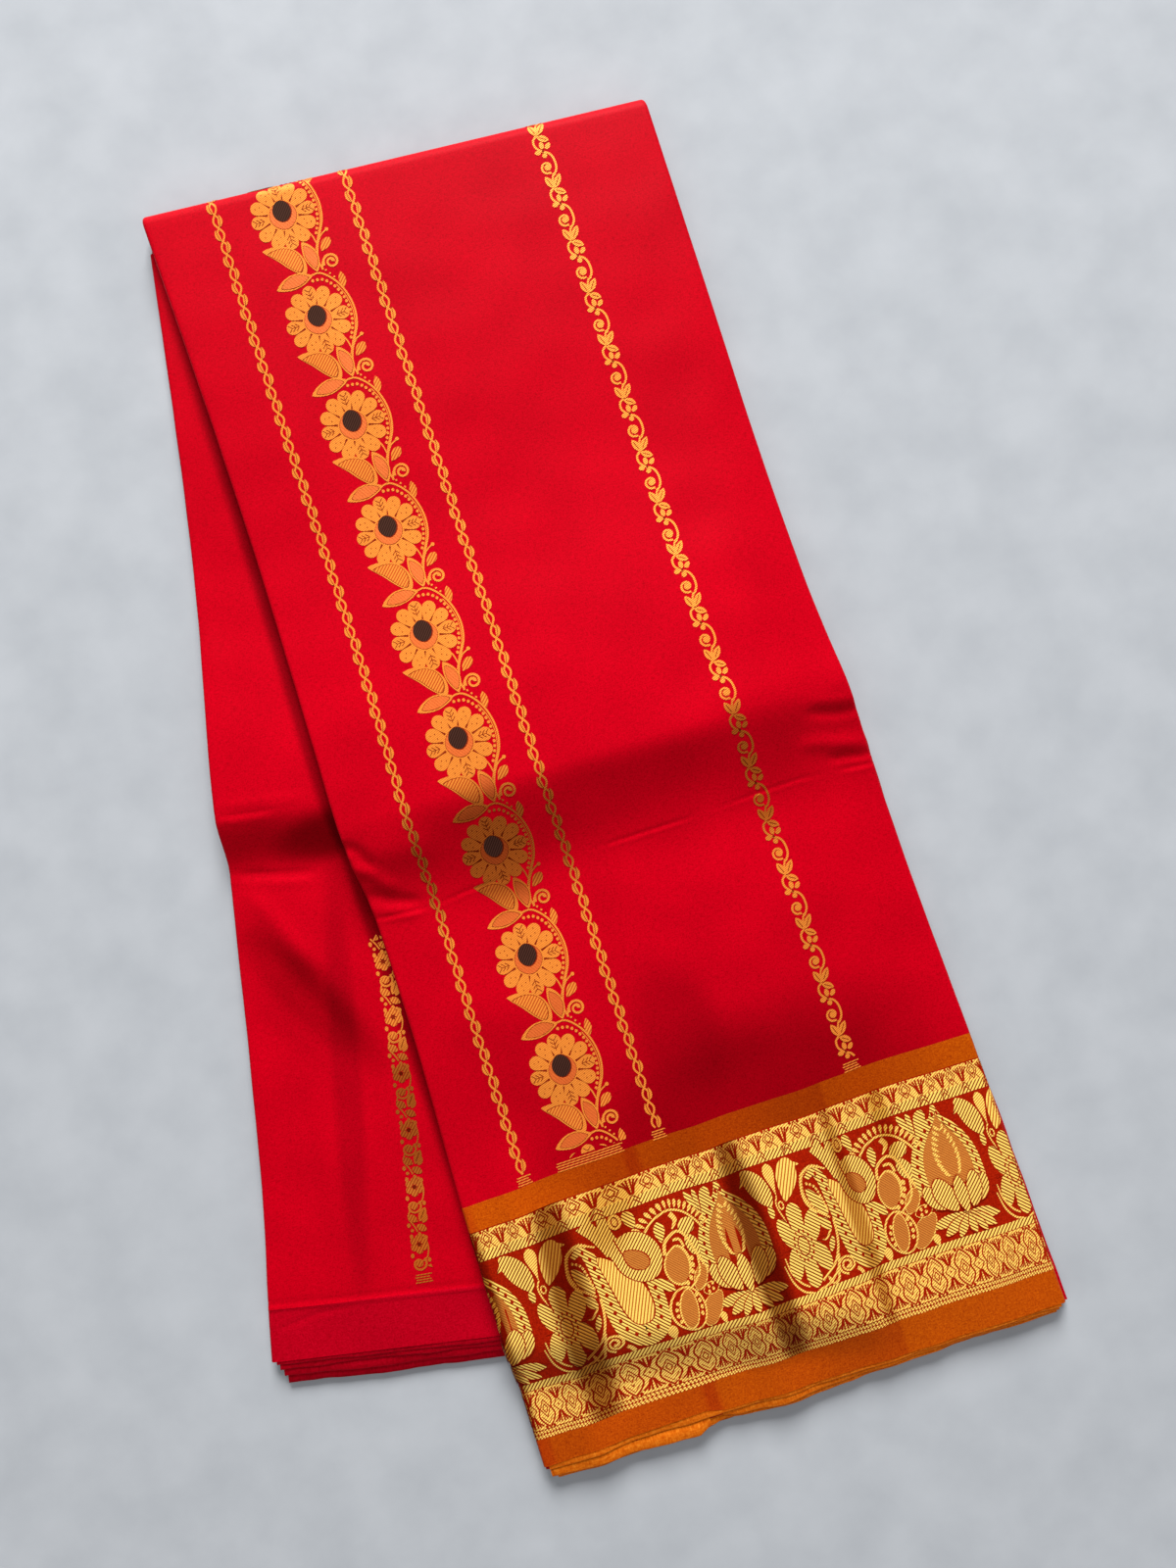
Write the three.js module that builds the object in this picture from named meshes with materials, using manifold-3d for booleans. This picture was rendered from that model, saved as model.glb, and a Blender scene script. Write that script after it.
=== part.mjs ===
// A folded length of silk for a pattu pavadai, a South Indian girl's long skirt, lying flat.
// The length is pleated into a strip, and the strip is folded once across. The half that ends
// in the gold border lies on top, and the half that ends in the plain waist edge lies under it,
// swung out to the left. Units are millimetres, +Z is up and +Y runs up the top half to the fold.
import * as THREE from "three";
import { mergeVertices } from "three/addons/utils/BufferGeometryUtils.js";
import Module from "manifold-3d";

// The visible ply is a wall, and the plies behind it are one solid.
const WALL = 1.2;
const GAP = 0.3;
const FRONT_THICK = 8.0;
const BACK_THICK = 7.0;
const EDGE_RADIUS = 2.4;
const EDGE_WRAP = 3.2;
const INSET = WALL + GAP;

// The rounded fold across the top, half an ellipse seen from the side.
const NOSE_DEPTH = 7.0;
const NOSE_HALF_HEIGHT = (BACK_THICK + GAP + FRONT_THICK) / 2;
const NOSE_TURN = 165;

// How the top half comes down to the table beside and below the half that carries it.
const DROOP_SIDE = 55;
const DROOP_HEM = 30;

// Side edges of the top half: x of each edge at a height y.
const FRONT_EDGES = [
  { y: 330, left: -114.6, right: 128.8 },
  { y: 200, left: -112.9, right: 127.0 },
  { y: 60, left: -113.4, right: 125.6 },
  { y: 5, left: -114.2, right: 128.2 },
  { y: -30, left: -112.6, right: 129.2 },
  { y: -90, left: -113.2, right: 129.2 },
  { y: -165, left: -116.4, right: 131.0 },
  { y: -300, left: -119.2, right: 132.4 },
];

// Lines across the top half: y of each line at its left and right ends.
const FRONT_LINES = {
  fold: { left: 320.6, right: 299.4 },
  rise: { left: 150, right: 140 },
  crest: { left: 17, right: 7 },
  crease: { left: -38, right: -56 },
  seam: { left: -165.2, right: -165.8 },
  bandTop: { left: -177.0, right: -177.6 },
  bandBottom: { left: -277.6, right: -280.2 },
  hem: { left: -293.6, right: -297.2 },
};

// Lines across the lower half: both ends of each line.
const BACK_LINES = {
  fold: { leftX: -114.4, leftY: 320.6, rightX: 128.4, rightY: 299.4 },
  upper: { leftX: -136.9, leftY: 192.4, rightX: 103.1, rightY: 160.5 },
  crest: { leftX: -167.4, leftY: 40.0, rightX: 72.0, rightY: -4.5 },
  crease: { leftX: -172.5, leftY: 11.5, rightX: 67.2, rightY: -38.5 },
  lower: { leftX: -201.5, leftY: -124.0, rightX: 38.3, rightY: -163.0 },
  waist: { leftX: -217.2, leftY: -183.0, rightX: 22.0, rightY: -233.0 },
  hem: { leftX: -223.0, leftY: -206.0, rightX: 16.7, rightY: -256.5 },
};

// The hump where each half was once folded: its height at the left and right edges, how much
// more it swells between them, how far it fades towards the fold, and how far above its crease
// it is steepest.
const FRONT_HUMP = { left: 10.5, right: 8.5, swell: 3.5, fade: 150, lean: 1.35 };
const BACK_HUMP = { left: 11, right: 9, swell: 0, fade: 120, lean: 1.1 };

// How far below the fold the swells of the top half have their full height.
const FOLD_CALM = 60;

// Soft swells: centre, half-widths and height.
const FRONT_SWELLS = [
  { x: 45, y: -88, reachX: 115, reachY: 76, rise: 3.6 },
  { x: -60, y: -95, reachX: 60, reachY: 66, rise: 2.0 },
  { x: -40, y: 170, reachX: 90, reachY: 90, rise: 1.0 },
];
const BACK_SWELLS = [
  { x: -150, y: -30, reachX: 40, reachY: 55, rise: 2.0 },
  { x: -170, y: -140, reachX: 45, reachY: 50, rise: 1.2 },
];

// Plies that show below a hem, from the top one down: how far each reaches past the visible
// ply at its left and right ends, and how far its own ends stand in from the side edges.
const FRONT_HEM_PLIES = [
  { left: 1.6, right: 0.6, inLeft: 2.0, inRight: 2.5 },
  { left: 0.8, right: 2.6, inLeft: 4.0, inRight: 4.5 },
  { left: 3.4, right: 1.2, inLeft: 6.0, inRight: 5.0 },
  { left: 4.6, right: 4.4, inLeft: 9.0, inRight: 7.0 },
];
const BACK_HEM_PLIES = [
  { left: 3.2, right: 1.2, inLeft: 1.8, inRight: 3.0 },
  { left: 7.2, right: 3.6, inLeft: 3.6, inRight: 3.5 },
  { left: 13.0, right: 9.0, inLeft: 5.4, inRight: 4.0 },
];
const HEM_PLY_ROOT = 9;
const HEM_PLY_ROUND = 0.35;
const HEM_PLY_FACE = { from: 0.3, to: 0.7 };
const HEM_GROOVE = 0.04;
const HEM_RIPPLE = { reach: 0.5, waves: 17, shift: 9 };

// Folded plies along a side edge, below the visible ply: how far each stands in.
const SIDE_PLY_INSETS = [0.4, 0.9, 0.3, 0.7];
const SIDE_PLY_VALLEY = 1.5;
const SIDE_PLY_SHOULDER = 0.25;

// The least height of a stack of plies, and how far solids that join run into each other.
const LEAST_DEPTH = EDGE_WRAP + 2;
const BITE = 0.1;

// How far the plies spread out past the top half's right edge at a height y.
const RIGHT_SPREAD = [
  { y: 60, by: 0 },
  { y: -20, by: 1.2 },
  { y: -90, by: 0.6 },
  { y: -165, by: 1.0 },
  { y: -300, by: 2.2 },
];

// How far the visible ply of the lower half reaches in under the top half, and where it starts.
const TUCK = 22;
const BACK_START = 16;

const ACROSS = 10;
const HEM_STATIONS = 14;
const CORNER_STEPS = 2;
const NOSE_STEPS = 7;
const MERGE = 1e-3;

const SILK = { color: 0xc8001c, roughness: 0.5, metalness: 0.0 };
const INNER_SILK = { color: 0xa80016, roughness: 0.6, metalness: 0.0 };
const WAIST_SILK = { color: 0xb4001a, roughness: 0.55, metalness: 0.0 };
const ORANGE_SILK = { color: 0xd95a0c, roughness: 0.5, metalness: 0.0 };
const GOLD = { color: 0xc8922c, roughness: 0.38, metalness: 0.7 };

const wasm = await Module();
wasm.setup();

const lerp = THREE.MathUtils.lerp;
const clamp01 = (t) => THREE.MathUtils.clamp(t, 0, 1);
const ease = (t) => clamp01(t) * clamp01(t) * (3 - 2 * clamp01(t));

// A column of a table at a value of another column, on a smooth curve through the rows.
function column(table, key, by, value) {
  const rising = table[0][by] < table[table.length - 1][by];
  const rows = rising ? table : [...table].reverse();
  const last = rows.length - 2;
  let i = rows.findIndex((r, k) => k < last && value < rows[k + 1][by]);
  if (i < 0) i = last;
  const slope = (k) => {
    const a = rows[Math.max(k - 1, 0)];
    const b = rows[Math.min(k + 1, rows.length - 1)];
    return (b[key] - a[key]) / (b[by] - a[by]);
  };
  const span = rows[i + 1][by] - rows[i][by];
  const t = clamp01((value - rows[i][by]) / span);
  const h = ease(t);
  return (
    rows[i][key] * (1 - h) +
    rows[i + 1][key] * h +
    slope(i) * span * t * (1 - t) ** 2 -
    slope(i + 1) * span * t * t * (1 - t)
  );
}

const frontLeft = (y) => column(FRONT_EDGES, "left", "y", y);
const frontRight = (y) => column(FRONT_EDGES, "right", "y", y);

// The share of the way across the top half, from its left edge.
const shareAcross = (x) =>
  clamp01(
    (x - FRONT_EDGES[0].left) / (FRONT_EDGES[0].right - FRONT_EDGES[0].left),
  );

// y of a line across the top half.
const lineY = (name, share) =>
  lerp(FRONT_LINES[name].left, FRONT_LINES[name].right, share);

// y of a line across the lower half at x.
function backLineY(name, x) {
  const line = BACK_LINES[name];
  const share = (x - line.leftX) / (line.rightX - line.leftX);
  return lerp(line.leftY, line.rightY, share);
}

// The hump at a point that lies `above` its crease, where its crest is `toCrest` above it.
function hump(form, share, above, toCrest) {
  const across = clamp01(share);
  const swell = 4 * form.swell * across * (1 - across);
  const height = lerp(form.left, form.right, across) + swell;
  if (above <= 0) return 0;
  if (above < toCrest) return height * ease((above / toCrest) ** form.lean);
  return height * (1 - ease((above - toCrest) / form.fade));
}

function swells(table, x, y) {
  return table.reduce((sum, s) => {
    const far = Math.hypot((x - s.x) / s.reachX, (y - s.y) / s.reachY);
    return sum + s.rise * (1 - ease(far));
  }, 0);
}

// Height of the lower half's visible face.
function backTop(x, y) {
  const crease = backLineY("crease", x);
  const toCrest = backLineY("crest", x) - crease;
  const line = BACK_LINES.crease;
  const share = (x - line.leftX) / (line.rightX - line.leftX);
  const risen = hump(BACK_HUMP, share, y - crease, toCrest);
  return BACK_THICK + risen + swells(BACK_SWELLS, x, y);
}

const BACK_ROWS = Object.values(BACK_LINES);
const backRightX = (y) => column(BACK_ROWS, "rightX", "rightY", y);
const backLeftX = (y) => column(BACK_ROWS, "leftX", "leftY", y);

// The share of the lower half's height that carries the top half, which comes down to the
// table past the lower half.
function carried(x, y) {
  const beside = ease(1 - (x - backRightX(y)) / DROOP_SIDE);
  const below = ease(1 - (backLineY("hem", x) - y) / DROOP_HEM);
  return beside * below;
}

// Height of what carries the top half.
const support = (x, y) => (backTop(x, y) + GAP) * carried(x, y);

// Height of the top half's visible face, whose own hump spans the one under it.
function frontTop(x, y) {
  const share = shareAcross(x);
  const crease = lineY("crease", share);
  const toCrest = lineY("crest", share) - crease;
  const risen = hump(FRONT_HUMP, share, y - crease, toCrest);
  const nearFold = ease((lineY("fold", share) - NOSE_DEPTH - y) / FOLD_CALM);
  const soft = swells(FRONT_SWELLS, x, y) * nearFold;
  return (BACK_THICK + GAP) * carried(x, y) + FRONT_THICK + risen + soft;
}

// Quarter circle from a side edge to the flat, as distances in from the edge and down.
function corner(radius, inset) {
  const points = [];
  for (let i = 0; i <= CORNER_STEPS; i++) {
    const turn = ((Math.PI / 2) * i) / CORNER_STEPS;
    const r = radius - inset;
    points.push({
      along: inset + r * (1 - Math.cos(turn)),
      down: inset + r * (1 - Math.sin(turn)),
    });
  }
  return points;
}

// One side of a wall's section, from its end up round the edge to the flat.
const wallSide = (inset, wrap) => [
  { along: inset, down: wrap },
  ...corner(EDGE_RADIUS, inset),
];

// Section of the plies behind the wall at one side, from the flat down to the base. `spread`
// is how far the plies reach out past their usual place.
function plySide(depth, spread = 0) {
  const points = corner(EDGE_RADIUS, INSET).reverse();
  const start = EDGE_WRAP + GAP;
  const height = (depth - start) / SIDE_PLY_INSETS.length;
  points.push({ along: SIDE_PLY_VALLEY, down: start - BITE });
  SIDE_PLY_INSETS.forEach((inset, k) => {
    const along = inset - spread;
    const valley = SIDE_PLY_VALLEY - spread;
    points.push({ along, down: start + height * (k + SIDE_PLY_SHOULDER) });
    points.push({ along, down: start + height * (k + 1 - SIDE_PLY_SHOULDER) });
    points.push({ along: valley, down: start + height * (k + 1) });
  });
  return points;
}

// Places `along` from the left edge at each station of a flat stretch across a width.
function flatStations(width, from, to) {
  return Array.from({ length: ACROSS - 1 }, (_, i) =>
    lerp(from, width - to, (i + 1) / ACROSS),
  );
}

// Closes rows of loops into one solid, each face between them split along its shorter
// diagonal. The end caps are cut as they look from the side, against `level` and z.
function skin(rows, level = "x") {
  const size = rows[0].length;
  const points = rows.flat();
  const index = [];
  for (let i = 0; i + 1 < rows.length; i++) {
    for (let j = 0; j < size; j++) {
      const a = i * size + j;
      const b = i * size + ((j + 1) % size);
      const [c, d] = [b + size, a + size];
      if (points[a].distanceTo(points[c]) < points[b].distanceTo(points[d])) {
        index.push(a, b, c, a, c, d);
      } else {
        index.push(a, b, d, b, c, d);
      }
    }
  }
  const cap = (row, first, forwards) => {
    const flat = row.map((p) => new THREE.Vector2(p[level], p.z));
    const turn = Math.sign(THREE.ShapeUtils.area(flat));
    for (const t of THREE.ShapeUtils.triangulateShape(flat, [])) {
      const own = Math.sign(THREE.ShapeUtils.area(t.map((k) => flat[k])));
      const keep = (own === turn) === forwards;
      const [a, b, c] = keep ? t : [t[0], t[2], t[1]];
      index.push(first + a, first + b, first + c);
    }
  };
  cap(rows[0], 0, false);
  cap(rows[rows.length - 1], (rows.length - 1) * size, true);
  const geometry = new THREE.BufferGeometry();
  geometry.setAttribute(
    "position",
    new THREE.Float32BufferAttribute(points.flatMap((p) => p.toArray()), 3),
  );
  geometry.setIndex(index);
  return facingOut(geometry);
}

// Turns every face round if the solid is inside out.
function facingOut(geometry) {
  const p = geometry.attributes.position;
  const ids = geometry.index.array;
  const [a, b, c] = [0, 1, 2].map(() => new THREE.Vector3());
  let volume = 0;
  for (let i = 0; i < ids.length; i += 3) {
    a.fromBufferAttribute(p, ids[i]);
    b.fromBufferAttribute(p, ids[i + 1]);
    c.fromBufferAttribute(p, ids[i + 2]);
    volume += a.dot(b.cross(c));
  }
  if (volume < 0) {
    for (let i = 0; i < ids.length; i += 3) {
      [ids[i + 1], ids[i + 2]] = [ids[i + 2], ids[i + 1]];
    }
  }
  return geometry;
}

function toSolid(geometry) {
  const merged = mergeVertices(geometry, MERGE);
  return new wasm.Manifold(
    new wasm.Mesh({
      numProp: 3,
      vertProperties: merged.attributes.position.array,
      triVerts: new Uint32Array(merged.index.array),
    }),
  );
}

function toGeometry(solid) {
  const mesh = solid.getMesh();
  const geometry = new THREE.BufferGeometry();
  geometry.setAttribute(
    "position",
    new THREE.Float32BufferAttribute(mesh.vertProperties, 3),
  );
  geometry.setIndex(Array.from(mesh.triVerts));
  return geometry;
}

// A row across the top half at a plan line. `at(along, down)` is the point that lies `along`
// from the left edge and `down` from the visible face.
function frontRow(yAt) {
  const middle = yAt(0.5);
  const left = frontLeft(middle);
  const width = frontRight(middle) - left;
  const at = (along, down) => {
    const x = left + along;
    const inner = THREE.MathUtils.clamp(along, EDGE_RADIUS, width - EDGE_RADIUS);
    const y = yAt(along / width);
    return new THREE.Vector3(x, y, frontTop(left + inner, y) - down);
  };
  return { width, at };
}

// A row of the top half where it turns down round the fold. `turn` is 0 on top.
function noseRow(turn) {
  const angle = THREE.MathUtils.degToRad(turn);
  const left = FRONT_EDGES[0].left;
  const width = FRONT_EDGES[0].right - left;
  const normal = new THREE.Vector2(
    Math.sin(angle) / NOSE_DEPTH,
    Math.cos(angle) / NOSE_HALF_HEIGHT,
  ).normalize();
  const at = (along, down) => {
    const y = lineY("fold", clamp01(along / width)) - NOSE_DEPTH;
    return new THREE.Vector3(
      left + along,
      y + NOSE_DEPTH * Math.sin(angle) - normal.x * down,
      NOSE_HALF_HEIGHT * (1 + Math.cos(angle)) - normal.y * down,
    );
  };
  return { width, at };
}

// A row across the lower half, at a share of the way between two of its lines.
function backRow(from, to, share) {
  const a = BACK_LINES[from];
  const b = BACK_LINES[to];
  const left = new THREE.Vector2(
    lerp(a.leftX, b.leftX, share),
    lerp(a.leftY, b.leftY, share),
  );
  const right = new THREE.Vector2(
    lerp(a.rightX, b.rightX, share),
    lerp(a.rightY, b.rightY, share),
  );
  left.x = backLeftX(left.y);
  const width = left.distanceTo(right);
  const at = (along, down) => {
    const p = left.clone().lerp(right, along / width);
    const inner = THREE.MathUtils.clamp(along, EDGE_RADIUS, width - EDGE_RADIUS);
    const q = left.clone().lerp(right, inner / width);
    return new THREE.Vector3(p.x, p.y, backTop(q.x, q.y) - down);
  };
  return { width, at, left, right };
}

// A wall's section in a row: out along the visible face and back along its inner face. The
// right side turns under as the left does, or is cut off flat at `cut` from the left edge.
function wallSection(row, { out = 0, extra = 0, cut = null } = {}) {
  const outer = wallSide(-out, EDGE_WRAP + extra);
  const inner = wallSide(WALL + extra, EDGE_WRAP + extra);
  const end = cut ?? row.width;
  const mirror = (side) =>
    [...side].reverse().map((p) => ({ along: row.width - p.along, down: p.down }));
  const flat = (down) =>
    flatStations(end, EDGE_RADIUS, cut ? 0 : EDGE_RADIUS).map((along) => ({
      along,
      down,
    }));
  const face = (side, down) => [
    ...side,
    ...flat(down),
    ...(cut ? [{ along: cut, down }] : mirror(side)),
  ];
  const loop = [
    ...face(outer, -out),
    ...face(inner, WALL + extra).reverse(),
  ];
  return loop.map((p) => row.at(p.along, p.down));
}

// The plies behind the wall in a row, down to the table. `base` is the height of what the
// left side rests on, and `spread` is how far the plies reach out on the right.
function plySection(row, base, spread = 0) {
  const zAt = (along) => row.at(along, 0).z;
  const left = plySide(Math.max(zAt(0) - base, LEAST_DEPTH));
  const right = plySide(Math.max(zAt(row.width), LEAST_DEPTH), spread);
  const loop = [
    ...[...left].reverse(),
    ...flatStations(row.width, EDGE_RADIUS, EDGE_RADIUS).map((along) => ({
      along,
      down: INSET,
    })),
    ...right.map((p) => ({ along: row.width - p.along, down: p.down })),
  ];
  const points = loop.map((p) => row.at(p.along, p.down));
  points.forEach((p) => (p.z = Math.max(p.z, 0)));
  const foot = SIDE_PLY_VALLEY + BITE;
  for (const along of [row.width - foot, foot]) {
    const p = row.at(along, 0);
    points.push(new THREE.Vector3(p.x, p.y, 0));
  }
  return points;
}

// Shares of the way from one line to the next.
const steps = (count) =>
  Array.from({ length: count + 1 }, (_, i) => i / count);

// Rows of the top half between two lines, held back from each by `trim`.
function frontRows(from, to, count, trimFrom = 0, trimTo = 0) {
  return steps(count).map((share) =>
    frontRow((s) => {
      const start = lineY(from, s) - (from === "fold" ? NOSE_DEPTH : trimFrom);
      return lerp(start, lineY(to, s) + trimTo, share);
    }),
  );
}

const HALF_GAP = GAP / 2;

// Spans of rows down the top half and the lower half, and the number of steps in each.
const FRONT_SPANS = [
  { from: "fold", to: "rise", count: 6 },
  { from: "rise", to: "crest", count: 7 },
  { from: "crest", to: "crease", count: 8 },
  { from: "crease", to: "seam", count: 7 },
];
const BORDER_SPANS = {
  upperStrip: { from: "seam", to: "bandTop", count: 1 },
  zariBand: { from: "bandTop", to: "bandBottom", count: 5 },
  lowerStrip: { from: "bandBottom", to: "hem", count: 2 },
};
const BACK_SPANS = [
  { from: "fold", to: "upper", count: 4 },
  { from: "upper", to: "crest", count: 6 },
  { from: "crest", to: "crease", count: 4 },
  { from: "crease", to: "lower", count: 5 },
  { from: "lower", to: "waist", count: 3 },
  { from: "waist", to: "hem", count: 2 },
];

const spanRows = (spans, make) =>
  spans.flatMap((span, i) => make(span).slice(i ? 1 : 0));

const panelRows = () =>
  spanRows(FRONT_SPANS, (s) =>
    frontRows(s.from, s.to, s.count, 0, s.to === "seam" ? HALF_GAP : 0),
  );

const borderRows = ({ from, to, count }) =>
  frontRows(from, to, count, HALF_GAP, to === "hem" ? 0 : HALF_GAP);

function frontPanel() {
  const nose = steps(NOSE_STEPS)
    .slice(0, -1)
    .map((t) => noseRow(NOSE_TURN * (1 - t)));
  return skin([...nose, ...panelRows()].map((row) => wallSection(row)));
}

const borderPanel = (span) =>
  skin(borderRows(span).map((row) => wallSection(row)));

// The share of its first span at which the lower half's visible ply starts.
const backStartShare =
  BACK_START / (BACK_LINES.fold.leftY - BACK_LINES.upper.leftY);

function backRows(spans) {
  return spanRows(spans, (s) => {
    const first = s.from === "fold" ? backStartShare : 0;
    return steps(s.count).map((t) => backRow(s.from, s.to, lerp(first, 1, t)));
  });
}

// How far from its left edge the lower half's visible ply ends, hidden under the top half.
function tuckAlong(row) {
  const share =
    (frontLeft(row.left.y) + TUCK - row.left.x) / (row.right.x - row.left.x);
  return share * row.width;
}

function backWall(spans, { trimFirst = 0, trimLast = 0, clearance = 0 } = {}) {
  const rows = backRows(spans);
  const shift = (row, by) => {
    const at = row.at;
    return {
      ...row,
      at: (along, down) => {
        const p = at(along, down);
        p.y += by;
        return p;
      },
    };
  };
  rows[0] = shift(rows[0], -trimFirst + clearance);
  rows[rows.length - 1] = shift(rows[rows.length - 1], trimLast - clearance);
  return skin(
    rows.map((row) =>
      wallSection(row, {
        out: clearance,
        extra: clearance,
        cut: tuckAlong(row) + clearance,
      }),
    ),
  );
}

// The core of the rounded fold, a bar of half-elliptical section along it, and how far it
// reaches in under the cloth.
const CORE_REACH = 4;
const CORE_STEPS = 8;

function noseCore() {
  const width = FRONT_EDGES[0].right - FRONT_EDGES[0].left;
  const outline = [{ y: -CORE_REACH, z: INSET }];
  for (let step = CORE_STEPS; step >= 0; step--) {
    const angle = (Math.PI * step) / CORE_STEPS;
    outline.push({
      y: (NOSE_DEPTH - INSET) * Math.sin(angle),
      z: NOSE_HALF_HEIGHT + (NOSE_HALF_HEIGHT - INSET) * Math.cos(angle),
    });
  }
  outline.push({ y: -CORE_REACH, z: 2 * NOSE_HALF_HEIGHT - INSET });
  const rows = steps(ACROSS).map((t) => {
    const along = lerp(EDGE_RADIUS, width - EDGE_RADIUS, t);
    const y = lineY("fold", along / width) - NOSE_DEPTH;
    return outline.map(
      (p) => new THREE.Vector3(FRONT_EDGES[0].left + along, y + p.y, p.z),
    );
  });
  return skin(rows, "y");
}

// One ply of a hem, a thin slab that reaches past the visible ply. `level` is its top and
// bottom as shares of the height of the plies behind the wall.
function hemPly(row, ply, level) {
  const rows = steps(HEM_STATIONS).map((t) => {
    const along = lerp(ply.inLeft, row.width - ply.inRight, t);
    const reach = lerp(ply.left, ply.right, t);
    const turn = t * HEM_RIPPLE.waves + level.top * HEM_RIPPLE.shift;
    const ripple = HEM_RIPPLE.reach * Math.sin(turn);
    const face = row.at(along, 0);
    const height = face.z - INSET - BITE;
    const top = height * (1 - level.top);
    const bottom = height * (1 - level.bottom);
    const tip = -(reach + ripple);
    const outline = [
      { y: HEM_PLY_ROOT, z: bottom },
      { y: tip + HEM_PLY_ROUND, z: bottom },
      { y: tip, z: lerp(bottom, top, HEM_PLY_FACE.from) },
      { y: tip, z: lerp(bottom, top, HEM_PLY_FACE.to) },
      { y: tip + HEM_PLY_ROUND, z: top },
      { y: HEM_PLY_ROOT, z: top },
    ];
    return outline.map((p) => new THREE.Vector3(face.x, face.y + p.y, p.z));
  });
  return skin(rows, "y");
}

// The plies of a hem, each a little thinner than its share so that a groove parts it from
// the next.
function hemPlies(row, plies) {
  return plies.map((ply, k) => {
    const groove = k + 1 < plies.length ? HEM_GROOVE : 0;
    return hemPly(row, ply, {
      top: k / plies.length,
      bottom: (k + 1) / plies.length - groove,
    });
  });
}

// All the hidden plies as one solid: both halves, the core of the fold and the hem edges,
// less the room that the lower half's visible ply needs and the slivers that this cuts off.
function innerLayers() {
  const front = [
    ...panelRows(),
    ...Object.values(BORDER_SPANS).flatMap(borderRows),
  ].map((row) => {
    const edge = row.at(0, 0);
    const spread = column(RIGHT_SPREAD, "by", "y", edge.y);
    return plySection(row, support(edge.x, edge.y), spread);
  });
  const backSpans = [{ from: "fold", to: "upper", count: 4 }, ...BACK_SPANS.slice(1)];
  const first =
    NOSE_DEPTH / (BACK_LINES.fold.leftY - BACK_LINES.upper.leftY);
  const back = spanRows(backSpans, (s) =>
    steps(s.count).map((t) =>
      backRow(s.from, s.to, s.from === "fold" ? lerp(first, 1, t) : t),
    ),
  ).map((row) => plySection(row, 0));
  const frontHem = frontRow((s) => lineY("hem", s));
  const backHem = backRow("waist", "hem", 1);
  const parts = [
    skin(front),
    skin(back),
    noseCore(),
    ...hemPlies(frontHem, FRONT_HEM_PLIES),
    ...hemPlies(backHem, BACK_HEM_PLIES),
  ].map(toSolid);
  const all = parts.reduce((sum, part) => sum.add(part));
  const room = toSolid(backWall(BACK_SPANS, { clearance: GAP }));
  const [main] = toSolid(toGeometry(all.subtract(room)))
    .decompose()
    .sort((a, b) => b.volume() - a.volume());
  return toGeometry(main);
}

const BACK_PANEL_SPANS = BACK_SPANS.slice(0, -1);
const WAIST_SPANS = BACK_SPANS.slice(-1);

const PIECES = [
  { name: "front_panel", make: frontPanel, look: SILK },
  {
    name: "border_upper_strip",
    make: () => borderPanel(BORDER_SPANS.upperStrip),
    look: ORANGE_SILK,
  },
  {
    name: "border_zari_band",
    make: () => borderPanel(BORDER_SPANS.zariBand),
    look: GOLD,
  },
  {
    name: "border_lower_strip",
    make: () => borderPanel(BORDER_SPANS.lowerStrip),
    look: ORANGE_SILK,
  },
  {
    name: "back_panel",
    make: () => backWall(BACK_PANEL_SPANS, { trimLast: HALF_GAP }),
    look: SILK,
  },
  {
    name: "waist_band",
    make: () => backWall(WAIST_SPANS, { trimFirst: HALF_GAP }),
    look: WAIST_SILK,
  },
  { name: "inner_layers", make: innerLayers, look: INNER_SILK },
];

const pavadai = new THREE.Group();
for (const piece of PIECES) {
  const material = new THREE.MeshStandardMaterial(piece.look);
  const mesh = new THREE.Mesh(piece.make(), material);
  mesh.name = piece.name;
  pavadai.add(mesh);
}

// The origin is the middle of the footprint, on the table.
const box = new THREE.Box3().setFromObject(pavadai);
const centre = box.getCenter(new THREE.Vector3());
pavadai.position.set(-centre.x, -centre.y, -box.min.z);

export default pavadai;
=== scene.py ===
"""Dresses the folded silk length: silk shells, brocade stripes, gold border and ply edges.

Lengths are millimetres until they reach a mesh, which is in metres. The form of both halves
repeats the one in the part's source, and creases, plies and woven motifs are added to it.
"""
import math

import bpy
import numpy as np
from mathutils import Matrix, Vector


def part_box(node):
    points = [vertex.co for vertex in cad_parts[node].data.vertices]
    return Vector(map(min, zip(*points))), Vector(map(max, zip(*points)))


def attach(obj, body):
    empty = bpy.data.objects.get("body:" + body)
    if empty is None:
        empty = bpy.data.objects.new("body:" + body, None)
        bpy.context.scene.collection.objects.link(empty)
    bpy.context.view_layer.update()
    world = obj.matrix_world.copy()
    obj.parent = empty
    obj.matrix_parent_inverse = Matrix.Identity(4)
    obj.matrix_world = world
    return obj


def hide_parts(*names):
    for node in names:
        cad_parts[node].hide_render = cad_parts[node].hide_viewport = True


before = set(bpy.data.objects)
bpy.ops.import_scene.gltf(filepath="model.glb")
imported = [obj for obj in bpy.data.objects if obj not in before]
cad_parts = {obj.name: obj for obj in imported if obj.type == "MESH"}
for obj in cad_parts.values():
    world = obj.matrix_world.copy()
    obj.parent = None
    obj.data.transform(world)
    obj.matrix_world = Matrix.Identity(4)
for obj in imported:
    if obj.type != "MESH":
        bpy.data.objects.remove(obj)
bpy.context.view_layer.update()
MM = 0.001


def table(columns, *rows):
    """Rows with named columns."""
    names = columns.split()
    return [dict(zip(names, row)) for row in rows]


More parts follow.
